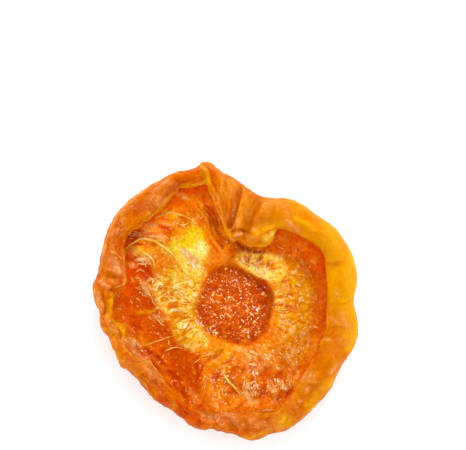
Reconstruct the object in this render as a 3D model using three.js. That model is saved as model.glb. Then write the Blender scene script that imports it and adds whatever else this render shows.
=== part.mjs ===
// One half of a dried apricot, lying cut face up: a shallow cup of flesh with the dent that the stone
// left, inside a rim of skin that has curled up and inwards. Millimetres, +Z up. The origin is under
// the middle of the half, on the surface that it lies on.
import * as THREE from 'three';
import { mergeVertices } from 'three/addons/utils/BufferGeometryUtils.js';

// Steps of the surface round the half between two stations, and from the dent's middle to the underside's.
const stepsPerStation = 2;
const dentRows = 7;
const fleshRows = 10;
const wallRows = 3;
const rimRows = 9;
const undersideRows = 14;

// Stations anticlockwise from the right: edge is the widest outline, lip the free inner edge of the
// curled rim, with its height, foot the bottom of the hollow under that lip, and crest the rim's height.
const stations = [
  { edge: [21.4, 0.0], lip: [16.9, -0.6, 9.7], foot: [18.4, -0.5], crest: 11.4 },
  { edge: [21.9, 3.2], lip: [16.9, 2.4, 10.1], foot: [18.5, 2.8], crest: 11.8 },
  { edge: [21.7, 6.0], lip: [16.8, 5.0, 9.9], foot: [18.2, 6.1], crest: 11.6 },
  { edge: [20.5, 9.3], lip: [16.4, 7.5, 10.2], foot: [17.6, 8.7], crest: 11.9 },
  { edge: [18.4, 12.1], lip: [15.0, 9.2, 10.4], foot: [16.0, 10.7], crest: 12.0 },
  { edge: [15.6, 14.2], lip: [12.4, 10.7, 10.4], foot: [13.3, 12.4], crest: 12.0 },
  { edge: [12.9, 16.1], lip: [10.3, 11.6, 10.3], foot: [11.1, 13.2], crest: 11.9 },
  { edge: [10.7, 17.1], lip: [8.7, 11.7, 9.9], foot: [9.6, 13.4], crest: 11.6 },
  { edge: [8.7, 17.2], lip: [7.9, 10.0, 9.3], foot: [8.3, 12.4], crest: 11.2 },
  { edge: [7.0, 17.3], lip: [6.7, 9.0, 9.0], foot: [7.0, 11.6], crest: 10.9 },
  { edge: [5.6, 17.9], lip: [4.6, 9.0, 9.1], foot: [5.6, 11.2], crest: 10.8 },
  { edge: [5.0, 18.3], lip: [3.7, 9.4, 9.2], foot: [4.9, 11.1], crest: 10.8 },
  { edge: [4.3, 18.7], lip: [3.2, 9.9, 9.3], foot: [4.5, 11.1], crest: 10.7 },
  { edge: [3.3, 19.5], lip: [2.0, 9.9, 9.6], foot: [3.4, 11.4], crest: 10.8 },
  { edge: [2.3, 20.3], lip: [1.1, 9.8, 9.9], foot: [2.8, 11.8], crest: 11.0 },
  { edge: [1.2, 20.9], lip: [0.5, 10.9, 10.3], foot: [2.1, 13.2], crest: 11.3 },
  { edge: [0.0, 21.4], lip: [-0.3, 12.7, 10.4], foot: [1.2, 14.8], crest: 11.4 },
  { edge: [-1.2, 22.3], lip: [-1.3, 14.9, 10.6], foot: [0.1, 16.8], crest: 11.6 },
  { edge: [-2.4, 23.1], lip: [-2.3, 17.3, 10.7], foot: [-1.3, 18.9], crest: 11.8 },
  { edge: [-3.7, 23.2], lip: [-3.1, 19.1, 10.7], foot: [-2.8, 20.5], crest: 12.0 },
  { edge: [-5.1, 22.1], lip: [-4.7, 18.8, 10.4], foot: [-4.8, 20.1], crest: 11.8 },
  { edge: [-7.6, 21.7], lip: [-7.3, 18.6, 10.2], foot: [-7.5, 19.9], crest: 11.6 },
  { edge: [-8.9, 21.2], lip: [-7.9, 17.8, 10.1], foot: [-8.3, 19.1], crest: 11.5 },
  { edge: [-10.5, 20.4], lip: [-9.2, 16.7, 10.1], foot: [-9.8, 18.0], crest: 11.4 },
  { edge: [-13.0, 18.9], lip: [-11.2, 14.6, 10.2], foot: [-12.0, 16.0], crest: 11.5 },
  { edge: [-15.6, 17.1], lip: [-13.5, 12.6, 10.2], foot: [-14.4, 13.8], crest: 11.6 },
  { edge: [-17.9, 14.6], lip: [-15.7, 11.0, 10.0], foot: [-16.6, 11.9], crest: 11.4 },
  { edge: [-19.5, 11.7], lip: [-16.6, 9.0, 9.8], foot: [-17.8, 9.7], crest: 11.2 },
  { edge: [-20.5, 8.2], lip: [-16.4, 6.2, 9.7], foot: [-17.8, 6.7], crest: 11.0 },
  { edge: [-21.1, 4.9], lip: [-16.2, 3.8, 9.3], foot: [-17.6, 4.2], crest: 10.6 },
  { edge: [-21.5, 3.6], lip: [-16.4, 2.4, 9.4], foot: [-17.7, 2.8], crest: 10.8 },
  { edge: [-21.9, 2.7], lip: [-17.4, 2.0, 9.6], foot: [-18.6, 2.3], crest: 10.9 },
  { edge: [-21.8, 1.3], lip: [-18.0, 1.1, 9.5], foot: [-19.1, 1.3], crest: 10.8 },
  { edge: [-21.4, -0.3], lip: [-18.4, -0.5, 9.4], foot: [-19.4, -0.4], crest: 10.6 },
  { edge: [-20.8, -1.5], lip: [-18.6, -1.9, 9.2], foot: [-19.6, -1.9], crest: 10.4 },
  { edge: [-20.7, -2.7], lip: [-18.6, -3.0, 9.2], foot: [-19.6, -3.0], crest: 10.4 },
  { edge: [-20.7, -4.0], lip: [-17.8, -3.7, 9.1], foot: [-18.8, -3.8], crest: 10.3 },
  { edge: [-20.3, -5.0], lip: [-16.9, -4.4, 8.9], foot: [-18.0, -4.6], crest: 10.2 },
  { edge: [-19.5, -5.8], lip: [-16.4, -5.5, 8.8], foot: [-17.5, -5.8], crest: 10.0 },
  { edge: [-18.8, -6.8], lip: [-16.5, -6.7, 8.9], foot: [-17.6, -7.1], crest: 10.1 },
  { edge: [-18.2, -8.4], lip: [-16.0, -7.9, 9.1], foot: [-17.0, -8.3], crest: 10.2 },
  { edge: [-17.6, -9.9], lip: [-14.9, -9.0, 8.9], foot: [-15.8, -9.5], crest: 10.0 },
  { edge: [-17.0, -11.0], lip: [-13.5, -9.9, 8.8], foot: [-14.3, -10.5], crest: 9.8 },
  { edge: [-15.8, -11.6], lip: [-12.2, -10.1, 8.9], foot: [-13.1, -10.8], crest: 9.9 },
  { edge: [-14.4, -13.1], lip: [-11.2, -10.9, 9.0], foot: [-12.1, -11.7], crest: 10.0 },
  { edge: [-13.2, -14.5], lip: [-10.4, -12.2, 8.8], foot: [-11.2, -13.0], crest: 9.8 },
  { edge: [-11.8, -16.2], lip: [-9.6, -13.7, 8.6], foot: [-10.2, -14.6], crest: 9.6 },
  { edge: [-10.6, -17.2], lip: [-8.6, -15.0, 8.4], foot: [-9.1, -15.8], crest: 9.4 },
  { edge: [-9.2, -17.8], lip: [-7.3, -16.3, 8.3], foot: [-7.8, -17.1], crest: 9.3 },
  { edge: [-7.4, -19.3], lip: [-6.2, -17.3, 8.0], foot: [-6.5, -18.1], crest: 9.2 },
  { edge: [-5.4, -20.7], lip: [-5.1, -18.0, 7.6], foot: [-5.2, -18.8], crest: 9.1 },
  { edge: [-3.6, -21.3], lip: [-3.5, -18.3, 7.2], foot: [-3.6, -19.0], crest: 8.9 },
  { edge: [-2.3, -21.1], lip: [-1.9, -18.7, 7.1], foot: [-1.9, -19.3], crest: 8.8 },
  { edge: [-0.5, -21.6], lip: [-0.3, -18.5, 7.1], foot: [-0.3, -19.1], crest: 8.8 },
  { edge: [1.4, -22.0], lip: [1.3, -18.4, 7.1], foot: [1.3, -19.0], crest: 8.7 },
  { edge: [4.5, -23.0], lip: [4.1, -18.3, 7.1], foot: [4.2, -19.0], crest: 8.8 },
  { edge: [7.8, -22.1], lip: [6.9, -18.6, 7.4], foot: [7.1, -19.4], crest: 9.0 },
  { edge: [11.2, -20.9], lip: [9.6, -17.4, 8.1], foot: [10.2, -18.2], crest: 9.6 },
  { edge: [14.2, -18.2], lip: [11.0, -15.1, 8.9], foot: [11.9, -16.1], crest: 10.2 },
  { edge: [16.9, -15.4], lip: [12.5, -12.9, 9.2], foot: [13.5, -13.7], crest: 10.6 },
  { edge: [18.2, -13.2], lip: [13.7, -11.1, 9.3], foot: [14.8, -11.8], crest: 10.8 },
  { edge: [19.1, -11.3], lip: [14.9, -9.7, 9.5], foot: [16.0, -10.3], crest: 10.9 },
  { edge: [20.4, -9.4], lip: [15.6, -8.4, 9.6], foot: [16.9, -8.9], crest: 11.1 },
  { edge: [21.4, -7.8], lip: [15.8, -7.0, 9.7], foot: [17.3, -7.4], crest: 11.2 },
  { edge: [22.0, -6.1], lip: [16.2, -5.7, 9.8], foot: [17.9, -6.0], crest: 11.3 },
  { edge: [22.1, -4.3], lip: [16.7, -4.3, 9.8], foot: [18.5, -4.4], crest: 11.4 },
  { edge: [21.8, -2.1], lip: [16.7, -2.5, 9.9], foot: [18.3, -2.6], crest: 11.6 },
];

// The dent of the stone: its middle, its radius every 15 degrees from the right, and its floor, which
// rises to the left.
const dentMiddle = [1.6, -0.3];
const dentRadii = [
  6.7, 6.7, 6.3, 6.05, 5.95, 6.15, 6.65, 6.85, 6.6, 6.3, 5.85, 6.1,
  6.8, 7.0, 6.95, 6.95, 6.7, 6.45, 6.75, 7.3, 7.3, 7.15, 6.8, 6.6,
];
const dentFloor = 3.5;
const dentDome = 0.6;
const dentSlope = 0.1;
const dentBrink = [0.88, 1.06];
const dentReach = 1.12;

// The flesh round the dent: its general height, the swelling round the dent and the trough at the wall,
// which starts at a share of the way from the dent's middle to the foot of the wall.
const fleshHeight = 5.2;
const swellHeight = 0.7;
const swellRadius = 9.5;
const swellWidth = 2.8;
const troughDepth = 0.7;
const troughStart = 0.82;

// The widest outline stands at this share of the crest's height, and the crest at this share of the band.
const edgeShare = 0.58;
const crestShare = 0.45;
const rimFlatness = 0.7;

// The underside: the share of the outline that is the flat spot, the radius of the ring that the outline
// rounds off to on the way in, and the two powers of its bowl.
const flatShare = 0.22;
const roundRadius = 22.0;
const undersidePower = 2.2;
const undersideRound = 0.62;

// Rings round the underside, by the share of the outline they lie at: a height above 0 swells downwards.
// Those with a side run round the half that faces the upper left, and fade out on the other.
const undersideRings = [
  { height: 0.75, width: 0.045, share: 0.66, sided: true },
  { height: -0.35, width: 0.05, share: 0.55, sided: true },
  { height: -0.4, width: 0.035, share: 0.8, sided: false },
  { height: -0.35, width: 0.03, share: 0.92, sided: false },
];

// Ridges (height above 0) and creases (below 0) of the flesh, each along a route of [x, y] points.
const fleshFolds = [
  { height: 0.5, width: 1.5, route: [[-12.9, 3.1], [-11.1, -0.5], [-8.2, -5.0]] },
  { height: -0.6, width: 3.2, route: [[-14.6, -0.6], [-12.2, -5.6]] },
  { height: -0.6, width: 2.6, route: [[-9.0, -10.2], [-6.2, -15.2]] },
  { height: 0.5, width: 1.3, route: [[-2.9, -10.6], [-2.6, -15.6]] },
  { height: -0.4, width: 0.5, route: [[-3.2, -9.6], [-1.2, -8.6], [-0.2, -8.0]] },
  { height: -0.9, width: 1.5, route: [[0.2, 9.2], [3.2, 8.8]] },
  { height: 0.8, width: 1.1, route: [[-3.8, 16.6], [-2.6, 13.2], [-0.8, 9.6]] },
  { height: 0.6, width: 2.4, route: [[-6.4, 8.2], [-4.6, 11.2]] },
  { height: 1.2, width: 3.4, route: [[-14.0, 11.0], [-5.0, 18.6]] },
  { height: 0.5, width: 1.6, route: [[3.4, -13.6], [10.6, -14.2]] },
  { height: 0.4, width: 2.0, route: [[10.6, 4.6], [12.2, -4.6]] },
  { height: 0.9, width: 1.8, route: [[-5.2, -18.4], [1.0, -18.9], [7.8, -18.8]] },
];

// Creases and ridges of the skin on top of the rim, by the same rule.
const skinFolds = [
  { height: -0.8, width: 0.5, route: [[2.7, 19.6], [1.9, 16.9], [0.8, 12.4]] },
  { height: -0.8, width: 0.7, route: [[6.0, 17.2], [4.5, 15.3], [3.7, 13.6], [3.4, 11.4]] },
  { height: 0.7, width: 1.1, route: [[7.2, 10.8], [5.4, 10.6]] },
  { height: -0.6, width: 0.7, route: [[4.6, 12.6], [6.4, 13.0], [8.2, 12.8]] },
  { height: -0.7, width: 0.6, route: [[-3.3, 19.6], [-3.7, 22.6]] },
  { height: -0.4, width: 0.6, route: [[-7.9, 18.8], [-8.3, 21.4]] },
];

const columns = stations.length * stepsPerStation;
const rows = dentRows + fleshRows + wallRows + rimRows + undersideRows;

// A value that runs smoothly through a ring of numbers, at a place counted in steps of the ring.
function ringValue(values, place) {
  const count = values.length;
  const whole = Math.floor(place);
  const t = place - whole;
  const [a, b, c, d] = [-1, 0, 1, 2].map((step) => values[(whole + step + count) % count]);
  return 0.5 * (2 * b + (c - a) * t + (2 * a - 5 * b + 4 * c - d) * t * t + (3 * b - a - 3 * c + d) * t ** 3);
}

function smoothStep(low, high, value) {
  const t = THREE.MathUtils.clamp((value - low) / (high - low), 0, 1);
  return t * t * (3 - 2 * t);
}

function mix(from, to, share) {
  return from + (to - from) * share;
}

// Distance from a place to a route of straight stretches.
function distanceToRoute(x, y, route) {
  let nearest = Infinity;
  for (let i = 1; i < route.length; i += 1) {
    const [ax, ay] = route[i - 1];
    const [bx, by] = route[i];
    const along = ((x - ax) * (bx - ax) + (y - ay) * (by - ay)) / ((bx - ax) ** 2 + (by - ay) ** 2);
    const t = THREE.MathUtils.clamp(along, 0, 1);
    nearest = Math.min(nearest, Math.hypot(x - mix(ax, bx, t), y - mix(ay, by, t)));
  }
  return nearest;
}

function foldHeight(x, y, folds) {
  return folds.reduce((sum, fold) => {
    const distance = distanceToRoute(x, y, fold.route) / fold.width;
    return sum + fold.height * Math.exp(-distance * distance);
  }, 0);
}

// The dent's radius in the direction of a place.
function dentRadius(x, y) {
  const angle = Math.atan2(y - dentMiddle[1], x - dentMiddle[0]) / (2 * Math.PI);
  return ringValue(dentRadii, ((angle + 1) % 1) * dentRadii.length);
}

// Height of the flesh inside the rim, with the dent of the stone in it.
function fleshSurface(x, y) {
  const radius = Math.hypot(x - dentMiddle[0], y - dentMiddle[1]);
  const share = radius / dentRadius(x, y);
  const floor = dentFloor + dentDome * (1 - Math.min(share, 1) ** 2) - dentSlope * (x - dentMiddle[0]);
  const swell = swellHeight * Math.exp(-(((radius - swellRadius) / swellWidth) ** 2));
  const flesh = fleshHeight + swell + foldHeight(x, y, fleshFolds);
  return mix(floor, flesh, smoothStep(dentBrink[0], dentBrink[1], share));
}

// The station values at one place round the half.
function sectionAt(place) {
  const ring = (pick) => ringValue(stations.map(pick), place);
  return {
    edge: [ring((s) => s.edge[0]), ring((s) => s.edge[1])],
    lip: [ring((s) => s.lip[0]), ring((s) => s.lip[1]), ring((s) => s.lip[2])],
    foot: [ring((s) => s.foot[0]), ring((s) => s.foot[1])],
    crest: ring((s) => s.crest),
  };
}

// A place on the flesh, at a share of the way from the dent's middle to the foot of the wall.
function inwardPoint(section, share) {
  const x = mix(dentMiddle[0], section.foot[0], share);
  const y = mix(dentMiddle[1], section.foot[1], share);
  return [x, y, fleshSurface(x, y) - troughDepth * smoothStep(troughStart, 1, share)];
}

// Where the dent ends on the way to the foot of the wall.
function dentEnd(section) {
  const [x, y] = section.foot;
  return dentReach * dentRadius(x, y) / Math.hypot(x - dentMiddle[0], y - dentMiddle[1]);
}

// The rows of the dent close up towards its brink.
function dentPoint(section, share) {
  return inwardPoint(section, dentEnd(section) * (1 - (1 - share) ** 1.6));
}

function fleshPoint(section, share) {
  return inwardPoint(section, mix(dentEnd(section), 1, share));
}

// The hollow wall rises from its foot and sweeps inwards to the lip that overhangs it.
function wallPoint(section, share) {
  const sweep = share ** 2.2;
  const [footX, footY, footZ] = inwardPoint(section, 1);
  const [lipX, lipY, lipZ] = section.lip;
  return [mix(footX, lipX, sweep), mix(footY, lipY, sweep), mix(footZ, lipZ, share)];
}

// The rim rolls from the lip over the crest to the widest outline.
function rimPoint(section, share) {
  const turn = share * Math.PI;
  const inner = share < 0.5;
  const across = crestShare - (inner ? crestShare : 1 - crestShare) * Math.cos(turn);
  const low = inner ? section.lip[2] : section.crest * edgeShare;
  const x = mix(section.lip[0], section.edge[0], across);
  const y = mix(section.lip[1], section.edge[1], across);
  const lift = Math.sin(turn) ** rimFlatness;
  return [x, y, mix(low, section.crest, lift) + foldHeight(x, y, skinFolds) * lift];
}

// The underside is a shallow round bowl with a flat spot in its middle and rings of folds round it.
function undersidePoint(section, share) {
  const ring = Math.cos(share * Math.PI / 2) ** 0.8;
  const reach = Math.hypot(...section.edge);
  const radius = mix(roundRadius, reach, ring ** 3) * ring;
  const [x, y] = section.edge.map((value) => value / reach * radius);
  const bowl = (value) => 1 - (1 - value ** undersidePower) ** undersideRound;
  const height = (bowl(ring) - bowl(flatShare)) / (1 - bowl(flatShare)) * section.crest * edgeShare;
  const side = smoothStep(-9, 5, y - x);
  const folds = undersideRings.reduce((sum, fold) => {
    const distance = (ring - fold.share) / fold.width;
    return sum + fold.height * (fold.sided ? side : 1) * Math.exp(-distance * distance);
  }, 0);
  return [x, y, ring > flatShare ? Math.max(height - folds, 0) : 0];
}

// Each stretch of the surface, from the middle of the dent to the middle of the underside.
const stretches = [
  { rows: dentRows, point: dentPoint },
  { rows: fleshRows, point: fleshPoint },
  { rows: wallRows, point: wallPoint },
  { rows: rimRows, point: rimPoint },
  { rows: undersideRows, point: undersidePoint },
];

function surfacePoint(section, row) {
  let left = row;
  for (const stretch of stretches) {
    if (left <= stretch.rows) {
      return stretch.point(section, left / stretch.rows);
    }
    left -= stretch.rows;
  }
  return [0, 0, 0];
}

// A ball's grid of rows and columns is laid over the half, row by row and column by column.
function halfGeometry() {
  const ball = new THREE.SphereGeometry(1, columns, rows);
  const { position, uv } = ball.attributes;
  for (let i = 0; i < position.count; i += 1) {
    const row = Math.round((1 - uv.getY(i)) * rows);
    const section = sectionAt(uv.getX(i) * stations.length);
    position.setXYZ(i, ...surfacePoint(section, row));
  }
  ball.deleteAttribute('normal');
  ball.deleteAttribute('uv');
  const half = mergeVertices(ball, 1e-4);
  half.computeVertexNormals();
  return half;
}

const driedFruit = new THREE.MeshStandardMaterial({ color: 0xe07a12, roughness: 0.45, metalness: 0 });
const half = new THREE.Mesh(halfGeometry(), driedFruit);
half.name = 'apricot_half';

const apricot = new THREE.Group();
apricot.add(half);

export default apricot;
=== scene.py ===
import math
import random

import bmesh
import bpy
import numpy as np
from mathutils import Matrix, Vector
from mathutils.bvhtree import BVHTree


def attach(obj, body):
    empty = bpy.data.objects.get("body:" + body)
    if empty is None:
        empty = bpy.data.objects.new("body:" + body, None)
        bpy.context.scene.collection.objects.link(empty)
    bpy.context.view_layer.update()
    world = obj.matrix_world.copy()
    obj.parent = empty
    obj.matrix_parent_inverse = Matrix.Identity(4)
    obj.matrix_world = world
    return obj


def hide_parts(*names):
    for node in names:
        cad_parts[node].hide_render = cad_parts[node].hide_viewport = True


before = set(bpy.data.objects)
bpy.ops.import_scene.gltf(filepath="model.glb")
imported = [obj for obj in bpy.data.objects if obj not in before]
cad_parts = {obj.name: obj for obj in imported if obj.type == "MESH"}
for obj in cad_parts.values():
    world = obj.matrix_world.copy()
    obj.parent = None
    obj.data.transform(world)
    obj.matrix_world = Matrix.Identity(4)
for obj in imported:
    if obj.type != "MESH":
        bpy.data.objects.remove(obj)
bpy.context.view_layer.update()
mm = 0.001  # the shapes below are written in millimetres


def mix(low, high, share):
    return low + (high - low) * share


def smoothStep(low, high, value):
    t = np.clip((value - low) / (high - low), 0.0, 1.0)
    return t * t * (3.0 - 2.0 * t)


def bell(distance, width):
    return np.exp(-((distance / width) ** 2))


def tone(colour):
    return np.array(colour, float)


# smooth curve through a ring of numbers, at places counted in steps of the ring
def ringValue(values, place):
    values = np.asarray(values, float)
    whole = np.floor(place).astype(int)
    t = place - whole
    if values.ndim > 1:
        t = t[..., None]
    a, b, c, d = (values[(whole + step) % len(values)] for step in (-1, 0, 1, 2))
    return 0.5 * (2 * b + (c - a) * t + (2 * a - 5 * b + 4 * c - d) * t**2 + (3 * b - a - 3 * c + d) * t**3)


# values of a ring that starts at the right, on the side where each place lies
def sideValue(values, x, y):
    return ringValue(values, np.arctan2(y, x) / (2 * math.pi) % 1.0 * len(values))


# distance of every place to a route of straight stretches
def routeDistance(x, y, route):
    nearest = np.full(np.shape(x), np.inf)
    for (ax, ay), (bx, by) in zip(route, route[1:]):
        along = ((x - ax) * (bx - ax) + (y - ay) * (by - ay)) / ((bx - ax) ** 2 + (by - ay) ** 2)
        t = np.clip(along, 0.0, 1.0)
        nearest = np.minimum(nearest, np.hypot(x - mix(ax, bx, t), y - mix(ay, by, t)))
    return nearest


def foldHeight(x, y, folds):
    return sum(height * bell(routeDistance(x, y, route), width) for height, width, route in folds)


# 1 inside a closed outline and 0 outside, with an edge as soft as the blur
def areaShare(x, y, outline, blur):
    closed = outline + outline[:1]
    inside = np.zeros(np.shape(x), bool)
    for (ax, ay), (bx, by) in zip(closed, closed[1:]):
        if ay != by:
            inside ^= ((ay > y) != (by > y)) & (x < ax + (bx - ax) * (y - ay) / (by - ay))
    distance = routeDistance(x, y, closed)
    return smoothStep(-blur, blur, np.where(inside, distance, -distance))


# the same random number from 0 to 1 for the same cell of a grid
def cellRandom(i, j, k, seed):
    n = (i * 73856093) ^ (j * 19349663) ^ (k * 83492791) ^ (seed * 2654435761)
    n = (n ^ (n >> 13)) * 1274126177 & 0x7FFFFFFF
    n = (n ^ (n >> 15)) * 668265263 & 0x7FFFFFFF
    return ((n ^ (n >> 11)) & 0xFFFFFF) / float(0xFFFFFF)


# smooth random field from -1 to 1
def softNoise(x, y, z, seed):
    i, j, k = (np.floor(v).astype(np.int64) for v in (x, y, z))
    u, v, w = (smoothStep(0.0, 1.0, a - b) for a, b in ((x, i), (y, j), (z, k)))
    total = 0.0
    for di in (0, 1):
        for dj in (0, 1):
            for dk in (0, 1):
                weight = (u if di else 1 - u) * (v if dj else 1 - v) * (w if dk else 1 - w)
                total = total + weight * cellRandom(i + di, j + dj, k + dk, seed)
    return total * 2.0 - 1.0


def layeredNoise(x, y, z, seed, layers=3):
    total, size = 0.0, 1.0
    for layer in range(layers):
        total = total + softNoise(x / size, y / size, z / size, seed + layer) * size
        size *= 0.5
    return total


# patches that grow from 0 to 1 between two levels of a flat noise
def patchShare(x, y, size, seed, levels, layers=2):
    return smoothStep(*levels, layeredNoise(x / size, y / size, 0, seed, layers))


# places moved about by noise
def bent(x, y, reach, length, seed):
    return (v + reach * softNoise(x / length, y / length, 0, seed + axis) for axis, v in enumerate((x, y)))


# distance to the nearest of one random point in each cell of a flat grid
def grainDistance(x, y, seed):
    i, j = np.floor(x).astype(np.int64), np.floor(y).astype(np.int64)
    nearest = np.full(np.shape(x), np.inf)
    for di in (-1, 0, 1):
        for dj in (-1, 0, 1):
            px = i + di + cellRandom(i + di, j + dj, 0, seed)
            py = j + dj + cellRandom(i + di, j + dj, 0, seed + 1)
            nearest = np.minimum(nearest, np.hypot(x - px, y - py))
    return nearest


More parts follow.
